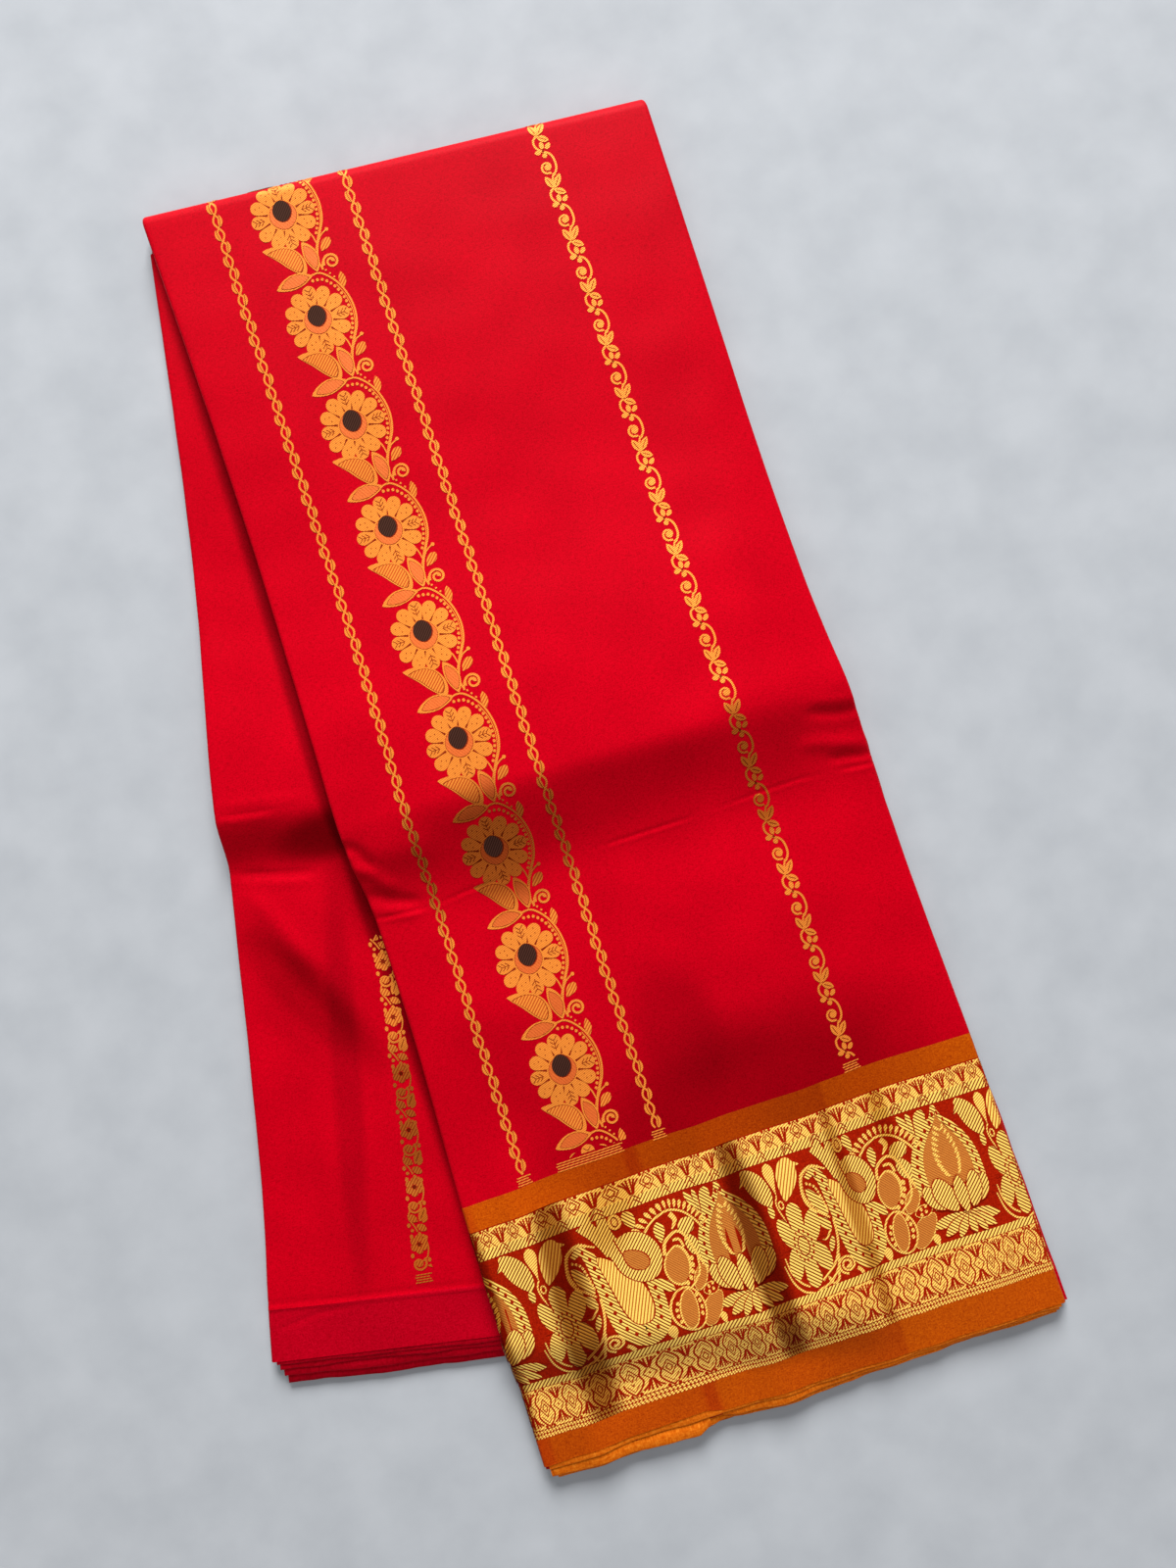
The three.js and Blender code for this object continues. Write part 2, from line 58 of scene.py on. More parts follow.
# The form of the cloth, as in the part's source.
FRONT_THICK = 8.0
BACK_THICK = 7.0
GAP = 0.3
INSET = 1.5
EDGE_WRAP = 3.2
NOSE_DEPTH = 7.0
NOSE_HALF_HEIGHT = (BACK_THICK + GAP + FRONT_THICK) / 2
NOSE_ARC = 7.33
NOSE_TURN = math.radians(165)
DROOP_SIDE = 55
DROOP_HEM = 30
TUCK = 22
BACK_START = 16

FRONT_EDGES = table(
    "y left right",
    (330, -114.6, 128.8),
    (200, -112.9, 127.0),
    (60, -113.4, 125.6),
    (5, -114.2, 128.2),
    (-30, -112.6, 129.2),
    (-90, -113.2, 129.2),
    (-165, -116.4, 131.0),
    (-300, -119.2, 132.4),
)
FRONT_LINES = {
    "fold": (320.6, 299.4),
    "rise": (150, 140),
    "crest": (17, 7),
    "crease": (-38, -56),
    "seam": (-165.2, -165.8),
    "band_top": (-177.0, -177.6),
    "band_bottom": (-277.6, -280.2),
    "hem": (-293.6, -297.2),
}
# How far the woven lines bow up between their ends.
LINE_BOWS = {"seam": 2.3, "band_top": 2.3, "band_bottom": 0.5}
BACK_LINES = {
    row["line"]: row
    for row in table(
        "line left_x left_y right_x right_y",
        ("fold", -114.4, 320.6, 128.4, 299.4),
        ("upper", -136.9, 192.4, 103.1, 160.5),
        ("crest", -167.4, 40.0, 72.0, -4.5),
        ("crease", -172.5, 11.5, 67.2, -38.5),
        ("lower", -201.5, -124.0, 38.3, -163.0),
        ("waist", -217.2, -183.0, 22.0, -233.0),
        ("hem", -223.0, -206.0, 16.7, -256.5),
    )
}
FRONT_HUMP = {"left": 10.5, "right": 8.5, "swell": 3.5, "fade": 150, "lean": 1.35}
BACK_HUMP = {"left": 11, "right": 9, "swell": 0, "fade": 120, "lean": 1.1}
FRONT_SWELLS = table(
    "x y reach_x reach_y rise",
    (45, -88, 115, 76, 3.6),
    (-60, -95, 60, 66, 2.0),
    (-40, 170, 90, 90, 1.0),
)
BACK_SWELLS = table(
    "x y reach_x reach_y rise",
    (-150, -30, 40, 55, 2.0),
    (-170, -140, 45, 50, 1.2),
)
RIGHT_SPREAD = table(
    "y by",
    (-300, 2.2),
    (-165, 1.0),
    (-90, 0.6),
    (-20, 1.2),
    (60, 0.0),
)

# Radius of the visible silk's folded side edges.
SIDE_ROUND = 1.8
SIDE_ARC = SIDE_ROUND * math.pi / 2
SILK_THICK = 0.35

# Creases, given one by one. Each follows its points, and `rise` is its height, or its depth where
# it is below zero. `width` is its half-width, and `lip` is the share of the rise that stands
# up on its near side. Where a row leaves `fade` out, it is CREASE_FADE.
FRONT_CREASES = table(
    "points rise width lip",
    ([(-114, -27.8), (-100, -29.6), (-86, -30.8)], -0.5, 1.0, 0.4),
    ([(-86, -30.8), (-68, -29.2), (-44, -29.4)], -0.3, 0.9, 0.3),
    ([(-8, -29.3), (16, -29.6), (45, -30.0)], -0.35, 0.8, 0.4),
    ([(52, -30.0), (71, -29.2), (91, -29.3), (108, -31)], -0.3, 0.8, 0.4),
    ([(112, -31), (131, -33.6)], -0.5, 1.0, 0.4),
    ([(-115, 11), (-109, 3), (-104, -9)], -1.3, 2.4, 0.5),
    ([(-115, 0), (-107, -8), (-97, -21)], 1.2, 3.2, 0),
    ([(-115, -14), (-102, -22), (-86, -29)], -1.2, 2.8, 0.4),
    ([(-112, 0), (-90, -2), (-70, -6)], 1.0, 8.0, 0),
    ([(132, -8), (119, -6), (102, -1)], -1.0, 2.6, 0.4),
    ([(132, -23), (116, -19), (94, -14)], 0.9, 3.4, 0),
    ([(132, -30), (120, -27), (106, -24)], -0.8, 2.2, 0.4),
    ([(-60, 12), (-20, 10), (30, 8), (80, 6)], 0.6, 8.0, 0),
    ([(10, 11), (60, 10), (140, 7), (170, 6)], 1.8, 15.0, 0),
    ([(-96, -60), (-70, -92), (-52, -140)], 0.6, 13.0, 0),
    ([(100, -60), (62, -84), (40, -130)], 0.8, 16.0, 0),
    ([(20, -60), (6, -100), (4, -150)], -0.7, 14.0, 0),
    ([(110, -100), (100, -130), (96, -162)], -0.5, 9.0, 0),
    ([(-90, 240), (-84, 140), (-92, 60)], 0.5, 22.0, 0),
    ([(100, 250), (92, 150), (104, 60)], -0.6, 20.0, 0),
    ([(30, 270), (24, 180), (34, 90)], 0.5, 24.0, 0),
)
BACK_CREASES = table(
    "points rise width lip fade",
    ([(-173, 13), (-162, 10), (-150, 6), (-128, 0)], -0.8, 1.9, 0.5),
    ([(-169, 40), (-157, 37.5), (-138, 34)], -0.5, 1.6, 0.3),
    ([(-168, 44), (-148, 39.5), (-120, 33.5)], 0.7, 2.0, 0),
    ([(-174, -8), (-165, -28), (-155, -50), (-146, -70), (-139, -96)], -1.7, 6.2, 0.3),
    ([(-170, 10), (-157, -16), (-144, -48)], 1.2, 4.6, 0),
    ([(-184, -50), (-192, -112), (-204, -178)], 0.7, 5.5, 0),
    ([(-170, -66), (-178, -130), (-190, -182)], -0.8, 5.0, 0),
    ([(-156, -96), (-163, -146), (-172, -190)], 0.6, 4.5, 0),
    ([(-140, -110), (-145, -150), (-152, -196)], -0.5, 4.0, 0),
    ([(-140, 180), (-148, 120), (-152, 70)], 0.5, 6.0, 0),
    ([(-218, -182.4), (-167, -194), (-121, -204.3), (-90, -211)], 0.5, 0.8, 0, 0),
    ([(-218, -180.4), (-167, -192), (-121, -202.3), (-90, -209)], -0.35, 0.9, 0, 0),
    ([(-219, -193.4), (-195, -191.5), (-178, -194)], -0.4, 0.9, 0),
)

# Soft ridges that run down the top half into the border: place, half-width and height of each,
# and between which lines it rises.
BORDER_RIDGES = table(
    "x reach rise starts full",
    (-111, 11, 0.8, -120, -185),
    (-92, 18, 2.2, -110, -180),
    (-43, 16, 0.5, -130, -180),
    (-3, 16, 2.0, -100, -180),
    (46, 13, 1.1, -120, -185),
    (70, 11, 0.7, -130, -185),
    (110, 15, 0.5, -120, -180),
)


def lerp(a, b, t):
    return a + (b - a) * t


def ease(t):
    t = np.clip(t, 0, 1)
    return t * t * (3 - 2 * t)


def column(rows, by, key, value):
    """A column of a table at values of another column, on a smooth curve through its rows."""
    rows = sorted(rows, key=lambda row: row[by])
    at = np.array([row[by] for row in rows], float)
    of = np.array([row[key] for row in rows], float)
    low = np.maximum(np.arange(len(rows)) - 1, 0)
    high = np.minimum(np.arange(len(rows)) + 1, len(rows) - 1)
    slope = (of[high] - of[low]) / (at[high] - at[low])
    i = np.clip(np.searchsorted(at, value, side="right") - 1, 0, len(rows) - 2)
    span = at[i + 1] - at[i]
    t = np.clip((value - at[i]) / span, 0, 1)
    blend = ease(t)
    bend = slope[i] * span * t * (1 - t) ** 2 - slope[i + 1] * span * t * t * (1 - t)
    return of[i] * (1 - blend) + of[i + 1] * blend + bend


def front_left(y):
    return column(FRONT_EDGES, "y", "left", y)


def front_right(y):
    return column(FRONT_EDGES, "y", "right", y)


BACK_ROWS = list(BACK_LINES.values())


def back_left_x(y):
    return column(BACK_ROWS, "left_y", "left_x", y)


def back_right_x(y):
    return column(BACK_ROWS, "right_y", "right_x", y)


FRONT_LEFT_END = FRONT_EDGES[0]["left"]
FRONT_RIGHT_END = FRONT_EDGES[0]["right"]


def share_across(x):
    return np.clip((x - FRONT_LEFT_END) / (FRONT_RIGHT_END - FRONT_LEFT_END), 0, 1)


# How far the ply on top stops short of the front hem, along the hem.
HEM_DRAWN_IN = [
    (0, 3.4), (0.1, 4.2), (0.2, 4.4), (0.31, 5.0), (0.345, 2.6), (0.5, 2.0), (0.7, 1.5), (1, 1.2),
]


def line_y(name, share):
    left, right = FRONT_LINES[name]
    y = lerp(left, right, share) + LINE_BOWS.get(name, 0) * np.sin(math.pi * share)
    if name == "hem":
        y = y + np.interp(share, *zip(*HEM_DRAWN_IN))
    return y


def back_share(name, x):
    line = BACK_LINES[name]
    return (x - line["left_x"]) / (line["right_x"] - line["left_x"])


def back_line_y(name, x):
    return lerp(BACK_LINES[name]["left_y"], BACK_LINES[name]["right_y"], back_share(name, x))


def hump(form, share, above, to_crest):
    across = np.clip(share, 0, 1)
    height = lerp(form["left"], form["right"], across) + 4 * form["swell"] * across * (1 - across)
    rising = ease(np.clip(above / to_crest, 0, 1) ** form["lean"])
    falling = 1 - ease((above - to_crest) / form["fade"])
    return height * np.where(above <= 0, 0, np.where(above < to_crest, rising, falling))


def swells(rows, x, y):
    total = np.zeros(np.shape(x))
    for row in rows:
        far = np.hypot((x - row["x"]) / row["reach_x"], (y - row["y"]) / row["reach_y"])
        total = total + row["rise"] * (1 - ease(far))
    return total


def wander(seed, at, longest, waves=5):
    """A smooth wandering value near -1 to 1 along a length."""
    random = np.random.default_rng(seed)
    total = np.zeros(np.shape(at))
    for k in range(waves):
        length = longest / (1 + 0.8 * k)
        phase = random.uniform(0, 2 * math.pi)
        total = total + np.sin(2 * math.pi * at / length + phase) / (1 + k)
    return total / 2


RIPPLE = {"waves": 12, "shortest": 26, "longest": 80, "height": 0.05}


def ripples(seed, x, y):
    """Faint unevenness of laid silk, a few tenths of a millimetre."""
    random = np.random.default_rng(seed)
    total = np.zeros(np.shape(x))
    for _ in range(RIPPLE["waves"]):
        angle = random.uniform(0, math.pi)
        length = random.uniform(RIPPLE["shortest"], RIPPLE["longest"])
        phase = random.uniform(0, 2 * math.pi)
        run = x * math.cos(angle) + y * math.sin(angle)
        total = total + RIPPLE["height"] * np.sin(2 * math.pi * run / length + phase)
    return total


# A crease fades towards both ends over this share of its length, but keeps a little at its
# start, where it runs in from a side edge. Its lip stands this many half-widths off.
CREASE_FADE = 0.3
CREASE_START = {"share": 0.15, "keeps": 0.25}
LIP_OFF = 2.2


def near_crease(points, x, y):
    """How far off a crease's line points are, with a sign for the side, and how far along."""
    nearest = np.full(np.shape(x), np.inf)
    side = np.zeros(np.shape(x))
    along = np.zeros(np.shape(x))
    lengths = np.hypot(*np.diff(points, axis=0).T)
    for k, length in enumerate(lengths):
        (ax, ay), (bx, by) = points[k], points[k + 1]
        dx, dy = (bx - ax) / length, (by - ay) / length
        run = (x - ax) * dx + (y - ay) * dy
        off = (y - ay) * dx - (x - ax) * dy
        held = np.clip(run, 0, length)
        far = np.hypot(off, run - held)
        closer = far < nearest
        nearest = np.where(closer, far, nearest)
        side = np.where(closer, np.sign(off) * far, side)
        along = np.where(closer, lengths[:k].sum() + held, along)
    return side, along / lengths.sum()


def creased(creases, x, y):
    """Sum of the hand-laid creases at points."""
    total = np.zeros(np.shape(x))
    for crease in creases:
        side, share = near_crease(np.array(crease["points"], float), x, y)
        fade = crease.get("fade", CREASE_FADE)
        strength = 1
        if fade:
            start = CREASE_START["keeps"] * (1 - ease(share / CREASE_START["share"]))
            strength = np.maximum(ease(share / fade) * ease((1 - share) / fade), start)
        across = side / crease["width"]
        profile = np.exp(-across ** 2)
        lip = crease["lip"] * np.exp(-(across + LIP_OFF) ** 2)
        total = total + crease["rise"] * strength * (profile - lip)
    return total


def back_height(x, y):
    """Height of the lower half's visible face."""
    crease = back_line_y("crease", x)
    to_crest = back_line_y("crest", x) - crease
    risen = hump(BACK_HUMP, back_share("crease", x), y - crease, to_crest)
    return BACK_THICK + risen + swells(BACK_SWELLS, x, y)


def back_face(x, y):
    """The lower half's visible face with its creases, which fade out under the top half."""
    shown = 1 - ease((x - front_left(y)) / TUCK)
    detail = creased(BACK_CREASES, x, y) + ripples(5, x, y)
    return back_height(x, y) + shown * detail


def carried(x, y):
    """The share of the lower half's height that carries the top half."""
    beside = ease(1 - (x - back_right_x(y)) / DROOP_SIDE)
    below = ease(1 - (back_line_y("hem", x) - y) / DROOP_HEM)
    return beside * below


def support(x, y):
    return (back_height(x, y) + GAP) * carried(x, y)


def fold_start(x):
    """y where the cloth starts to turn down round the fold."""
    return line_y("fold", share_across(x)) - NOSE_DEPTH


# How far below the fold the swells and the creases of the top half have their full height.
SWELL_CALM = 60
CREASE_CALM = 40


def front_height(x, y):
    """Height of the top half's visible face, without its creases."""
    share = share_across(x)
    crease = line_y("crease", share)
    to_crest = line_y("crest", share) - crease
    risen = hump(FRONT_HUMP, share, y - crease, to_crest)
    soft = ease((fold_start(x) - y) / SWELL_CALM) * swells(FRONT_SWELLS, x, y)
    return (BACK_THICK + GAP) * carried(x, y) + FRONT_THICK + risen + soft


def front_face(x, y):
    """Height of the top half's visible face, with its creases."""
    detail = creased(FRONT_CREASES, x, y) + ripples(3, x, y)
    for ridge in BORDER_RIDGES:
        grown = ease((ridge["starts"] - y) / (ridge["starts"] - ridge["full"]))
        bump = 1 - ease(np.abs(x - ridge["x"]) / ridge["reach"])
        detail = detail + ridge["rise"] * grown * bump
    return front_height(x, y) + ease((fold_start(x) - y) / CREASE_CALM) * detail


def turned_side(past):
    """How far out and how far down the cloth is, `past` the flat round a side edge."""
    angle = np.clip(past / SIDE_ROUND, 0, math.pi / 2)
    out = SIDE_ROUND * np.sin(angle)
    down = SIDE_ROUND * (1 - np.cos(angle)) + np.maximum(past - SIDE_ARC, 0)
    return out, down


def front_at(u, s):
    """Points of the top half's visible face.

    `u` runs across the cloth and is x on its flat, and `s` runs along it and is y on top. Past
    its flat the cloth turns down at the sides, and past the fold it turns under.
    """
    u, s = np.broadcast_arrays(np.asarray(u, float), np.asarray(s, float))
    start = fold_start(u)
    y = np.minimum(s, start)
    flat_left = front_left(y) + SIDE_ROUND
    flat_right = front_right(y) - SIDE_ROUND
    out_left, down_left = turned_side(np.maximum(flat_left - u, 0))
    out_right, down_right = turned_side(np.maximum(u - flat_right, 0))
    inner = np.clip(u, flat_left, flat_right)
    x = inner - out_left + out_right
    down = down_left + down_right
    turn = np.clip((s - start) / NOSE_ARC, 0, NOSE_TURN)
    normal_y = np.sin(turn) / NOSE_DEPTH
    normal_z = np.cos(turn) / NOSE_HALF_HEIGHT
    size = np.hypot(normal_y, normal_z)
    over = s > start
    height = np.where(over, NOSE_HALF_HEIGHT * (1 + np.cos(turn)), front_face(inner, y))
    z = height - down * np.where(over, normal_z / size, 1)
    y = y + NOSE_DEPTH * np.sin(turn) - down * normal_y / size
    return np.stack([x, y, z], axis=-1)


def back_at(x, y):
    """Points of the lower half's visible face by plan place."""
    x, y = np.broadcast_arrays(np.asarray(x, float), np.asarray(y, float))
    return np.stack([x, y, back_face(x, y)], axis=-1)


def lifted(at, u, s, lift):
    """Points that stand `lift` proud of a face."""
    step = 0.2
    here = at(u, s)
    normal = np.cross(at(u + step, s) - here, at(u, s + step) - here)
    normal /= np.maximum(np.linalg.norm(normal, axis=-1, keepdims=True), 1e-9)
    return here + normal * np.asarray(lift)[..., None]


# The plan's own origin is not the part's, so one panel's box says how far apart they are.
SEAM_MIDDLE = (FRONT_LINES["seam"][0] + FRONT_LINES["seam"][1]) / 2 + GAP / 2
PANEL_LOW, PANEL_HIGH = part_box("front_panel")
PLAN_SHIFT = np.array([
    PANEL_LOW[0] / MM - float(front_left(SEAM_MIDDLE)),
    PANEL_HIGH[1] / MM - FRONT_LINES["fold"][0],
    0.0,
])


def placed(points):
    """Plan points in millimetres as points of the part in metres."""
    return (np.asarray(points) + PLAN_SHIFT) * MM


# Meshes.
def new_object(name, points, faces, uvs=None, materials=(), tones=None, body="root"):
    mesh = bpy.data.meshes.new(name)
    flat = placed(points).reshape(-1, 3)
    mesh.vertices.add(len(flat))
    mesh.vertices.foreach_set("co", flat.ravel())
    faces = np.asarray(faces, dtype=np.int32)
    mesh.loops.add(faces.size)
    mesh.loops.foreach_set("vertex_index", faces.ravel())
    mesh.polygons.add(len(faces))
    mesh.polygons.foreach_set("loop_start", np.arange(len(faces), dtype=np.int32) * faces.shape[1])
    for material in materials:
        mesh.materials.append(material)
    if tones is not None:
        mesh.polygons.foreach_set("material_index", np.asarray(tones, dtype=np.int32))
    mesh.polygons.foreach_set("use_smooth", np.full(len(faces), True))
    if uvs is not None:
        layer = mesh.uv_layers.new(name="cloth")
        layer.data.foreach_set("uv", (np.asarray(uvs).reshape(-1, 2) * MM)[faces.ravel()].ravel())
    mesh.update(calc_edges=True)
    mesh.validate()
    item = bpy.data.objects.new(name, mesh)
    bpy.context.scene.collection.objects.link(item)
    if body:
        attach(item, body)
    return item


def grid_faces(rows, columns, closed=False):
    """Quads between the points of a grid, joined round its columns where it is closed."""
    last = columns if closed else columns - 1
    r, c = np.meshgrid(np.arange(rows - 1), np.arange(last), indexing="ij")
    a = r * columns + c
    b = r * columns + (c + 1) % columns
    return np.stack([a, b, b + columns, a + columns], axis=-1).reshape(-1, 4)


def stiffen(item, thickness=SILK_THICK):
    shell = item.modifiers.new("cloth_thickness", "SOLIDIFY")
    shell.thickness = thickness * MM
    shell.offset = -1
    return item


FLAT_COLUMNS = 118
SIDE_COLUMNS = 5
WRAP_DOWN = EDGE_WRAP - SIDE_ROUND
NARROW_ROW = 0.02


def side_steps():
    """Distances past the flat round a side edge, from the flat outwards."""
    round_part = np.linspace(0, SIDE_ARC, SIDE_COLUMNS + 1)[1:]
    return np.append(round_part, SIDE_ARC + WRAP_DOWN)


def narrow_ends(rows):
    """Adds a narrow row inside each end, so that the shell's rim doesn't darken the cloth."""
    first = rows[0] + (rows[1] - rows[0]) * NARROW_ROW
    last = rows[-1] + (rows[-2] - rows[-1]) * NARROW_ROW
    return np.concatenate([rows[:1], [first], rows[1:-1], [last], rows[-1:]])


def front_grid(spans, nose_rows=0):
    """u and s of the rows of a stretch of the top half."""
    past = side_steps()
    shares = np.linspace(0, 1, FLAT_COLUMNS + 1)
    all_shares = np.concatenate([np.zeros(len(past)), shares, np.ones(len(past))])
    start = line_y("fold", all_shares) - NOSE_DEPTH
    rows = [start + t * NOSE_TURN * NOSE_ARC for t in np.linspace(1, 0, nose_rows + 1)[:-1]]
    for k, (first, last, count) in enumerate(spans):
        a = start if first == "fold" else line_y(first, all_shares)
        b = line_y(last, all_shares)
        steps = np.linspace(0, 1, count + 1)
        rows += [lerp(a, b, t) for t in (steps if k == 0 else steps[1:])]
    s = narrow_ends(np.array(rows))
    held = np.minimum(s, start)
    u = lerp(front_left(held) + SIDE_ROUND, front_right(held) - SIDE_ROUND, all_shares)
    u[:, : len(past)] -= past[::-1]
    u[:, -len(past):] += past
    return u, s


def sheet_of(name, points, uvs, material):
    """A thin shell, with its lengths across and along the cloth in metres."""
    faces = grid_faces(*points.shape[:2])[:, ::-1]
    item = stiffen(new_object(name, points, faces, uvs, [material]))
    across = np.linalg.norm(np.diff(points, axis=1), axis=-1).sum(axis=1).mean()
    along = np.linalg.norm(np.diff(points, axis=0), axis=-1).sum(axis=0).mean()
    return item, (across * MM, along * MM)


def front_cloth(name, spans, material, nose_rows=0):
    u, s = front_grid(spans, nose_rows)
    return sheet_of(name, front_at(u, s), np.stack([u, s], axis=-1), material)


def back_rows(spans):
    """Left ends and right ends of the rows of a stretch of the lower half."""
    left, right = [], []
    for k, (first, last, count, start) in enumerate(spans):
        a, b = BACK_LINES[first], BACK_LINES[last]
        for t in np.linspace(0, 1, count + 1)[0 if k == 0 else 1:]:
            share = lerp(start, 1, t)
            y = lerp(a["left_y"], b["left_y"], share)
            left.append((float(back_left_x(y)), y))
            right.append([lerp(a[key], b[key], share) for key in ("right_x", "right_y")])
    return np.array(left), np.array(right)


def across_rows(left, way, along):
    """Plan places `along` each row from its left end."""
    return left[:, :1] + way[:, :1] * along, left[:, 1:] + way[:, 1:] * along


def back_cloth(name, spans, material, columns=46):
    left, right = (narrow_ends(ends) for ends in back_rows(spans))
    way = right - left
    way = way / np.linalg.norm(way, axis=1, keepdims=True)
    end = (front_left(left[:, 1]) + TUCK - left[:, 0])[:, None] / way[:, :1]
    out, down = turned_side(side_steps()[::-1])
    flat = lerp(SIDE_ROUND, end, np.linspace(0, 1, columns + 1)[None, :])
    along = np.concatenate([np.tile(SIDE_ROUND - out, (len(left), 1)), flat], axis=1)
    down = np.concatenate([np.tile(down, (len(left), 1)), np.zeros_like(flat)], axis=1)
    x, y = across_rows(left, way, along)
    z = back_face(*across_rows(left, way, np.maximum(along, SIDE_ROUND))) - down
    return sheet_of(name, np.stack([x, y, z], axis=-1), np.stack([x, y], axis=-1), material)


# Materials.
class Shade:
    """A material, with short calls that string its nodes together."""

    def __init__(self, name, **sockets):
        self.material = bpy.data.materials.new(name)
        self.material.use_nodes = True
        self.tree = self.material.node_tree
        self.shader = self.tree.nodes["Principled BSDF"]
        for socket, value in sockets.items():
            self.shader.inputs[socket.replace("_", " ")].default_value = value

    def add(self, kind, inputs, **settings):
        node = self.tree.nodes.new(kind)
        for key, value in settings.items():
            setattr(node, key, value)
        for key, value in inputs.items():
            if isinstance(value, bpy.types.NodeSocket):
                self.tree.links.new(value, node.inputs[key])
            else:
                node.inputs[key].default_value = value
        return node

    def cloth(self, across=1.0, along=1.0, turn=0.0):
        """Cloth coordinates in millimetres, scaled."""
        uv = self.add("ShaderNodeUVMap", {}, uv_map="cloth").outputs["UV"]
        grow = (across / MM, along / MM, 1)
        inputs = {"Vector": uv, "Rotation": (0, 0, math.radians(turn)), "Scale": grow}
        if not turn:
            return self.add("ShaderNodeMapping", inputs).outputs["Vector"]
        inputs["Scale"] = (1 / MM, 1 / MM, 1)
        turned = self.add("ShaderNodeMapping", inputs).outputs["Vector"]
        scale = {"Vector": turned, "Scale": (across, along, 1)}
        return self.add("ShaderNodeMapping", scale).outputs["Vector"]

    def noise(self, across, along, detail=2.0):
        """Noise whose grains measure `across` by `along` millimetres."""
        where = self.cloth(1 / across, 1 / along)
        inputs = {"Vector": where, "Scale": 1.0, "Detail": detail}
        return self.add("ShaderNodeTexNoise", inputs).outputs["Fac"]

    def lines(self, pitch, turn, waver=0.0):
        """Parallel lines at a pitch in millimetres, square to a turn in degrees."""
        where = self.cloth(1.0, 1.0, turn)
        inputs = {"Vector": where, "Scale": math.pi / (10 * pitch), "Distortion": waver}
        inputs["Detail"] = 1.0
        return self.add("ShaderNodeTexWave", inputs, wave_profile="SIN").outputs["Fac"]

    def ramp(self, value, stops, smooth=False):
        node = self.add("ShaderNodeValToRGB", {"Fac": value})
        node.color_ramp.interpolation = "EASE" if smooth else "LINEAR"
        elements = node.color_ramp.elements
        while len(elements) < len(stops):
            elements.new(0.5)
        for element, (place, colour) in zip(elements, stops):
            element.position = place
            element.color = (*colour, 1)
        return node.outputs["Color"]

    def painted_shade_over(self, colour, patches):
        """A colour with soft spots of painted shade laid over it, each a darker tone it is multiplied by.
        """
        uv = self.add("ShaderNodeUVMap", {}, uv_map="cloth").outputs["UV"]
        for patch in patches:
            middle = (patch["x"] * MM, patch["y"] * MM, 0)
            moved = self.add("ShaderNodeVectorMath", {0: uv, 1: middle}, operation="SUBTRACT").outputs[0]
            turn = (0, 0, -math.radians(patch["heading"]))
            turned = self.add("ShaderNodeMapping", {"Vector": moved, "Rotation": turn}).outputs["Vector"]
            reach = (1 / (patch["long"] * MM), 1 / (patch["wide"] * MM), 1)
            spot = self.add("ShaderNodeMapping", {"Vector": turned, "Scale": reach}).outputs["Vector"]
            near = self.add("ShaderNodeTexGradient", {"Vector": spot}, gradient_type="SPHERICAL")
            # Painted shade: towards a spot's middle the colour is multiplied by its darker tone.
            tone = self.ramp(near.outputs["Fac"], [(0.0, (1, 1, 1)), (0.6, patch["tone"])], True)
            colour = self.mix(1.0, colour, tone, "MULTIPLY")
        return colour

    def maths(self, kind, a, b=0.0):
        return self.add("ShaderNodeMath", {0: a, 1: b}, operation=kind).outputs[0]

    def mix(self, share, a, b, kind="MIX"):
        inputs = {0: share, 6: a, 7: b}
        node = self.add("ShaderNodeMix", {}, data_type="RGBA", blend_type=kind)
        for key, value in inputs.items():
            if isinstance(value, bpy.types.NodeSocket):
                self.tree.links.new(value, node.inputs[key])
            else:
                node.inputs[key].default_value = value if key == 0 else (*value, 1)
        return node.outputs[2]

    def finish(self, colour, height=None, depth=0.03, roughness=None):
        link = self.tree.links.new
        link(colour, self.shader.inputs["Base Color"])
        if height is not None:
            inputs = {"Height": height, "Distance": depth * MM, "Strength": 1.0}
            bump = self.add("ShaderNodeBump", inputs)
            link(bump.outputs["Normal"], self.shader.inputs["Normal"])
        if roughness is not None:
            link(roughness, self.shader.inputs["Roughness"])
        return self.material


# Tones of each silk: deep, middle and light.
RED = ((0.30, 0.0, 0.004), (0.44, 0.0, 0.006), (0.52, 0.0, 0.009))
WAIST_RED = ((0.25, 0.0, 0.004), (0.37, 0.0, 0.007), (0.45, 0.001, 0.012))
ORANGE = ((0.28, 0.03, 0.001), (0.43, 0.063, 0.001), (0.54, 0.10, 0.002))
# A darker copy of the strips' orange for the lower strip, which is the same cloth: painted shade.
LOWER_ORANGE_SHADED = ((0.23, 0.024, 0.001), (0.36, 0.049, 0.001), (0.46, 0.08, 0.002))
# A lighter copy of the strips' orange: painted light on the hem plies, which the lamps leave in shade.
HEM_ORANGE_PAINTED_LIGHT = ((0.42, 0.06, 0.001), (0.60, 0.12, 0.004), (0.76, 0.21, 0.014))


# Painted shade: soft spots that darken the cloth's colour where it lies in shade. Columns: the
# middle, half-lengths along and across the heading of the long one, and how much of each colour stays.
# On the top half's silk: painted shade low on the silk above the border and on its swells.
FRONT_PAINTED_SHADE = table(
    "x y long wide heading tone",
    (26, -166, 125, 58, 0, (0.54, 0.4, 0.5)),
    (4, -120, 44, 26, 90, (0.76, 0.7, 0.76)),
    (-88, -118, 60, 44, 0, (0.88, 0.84, 0.88)),
)
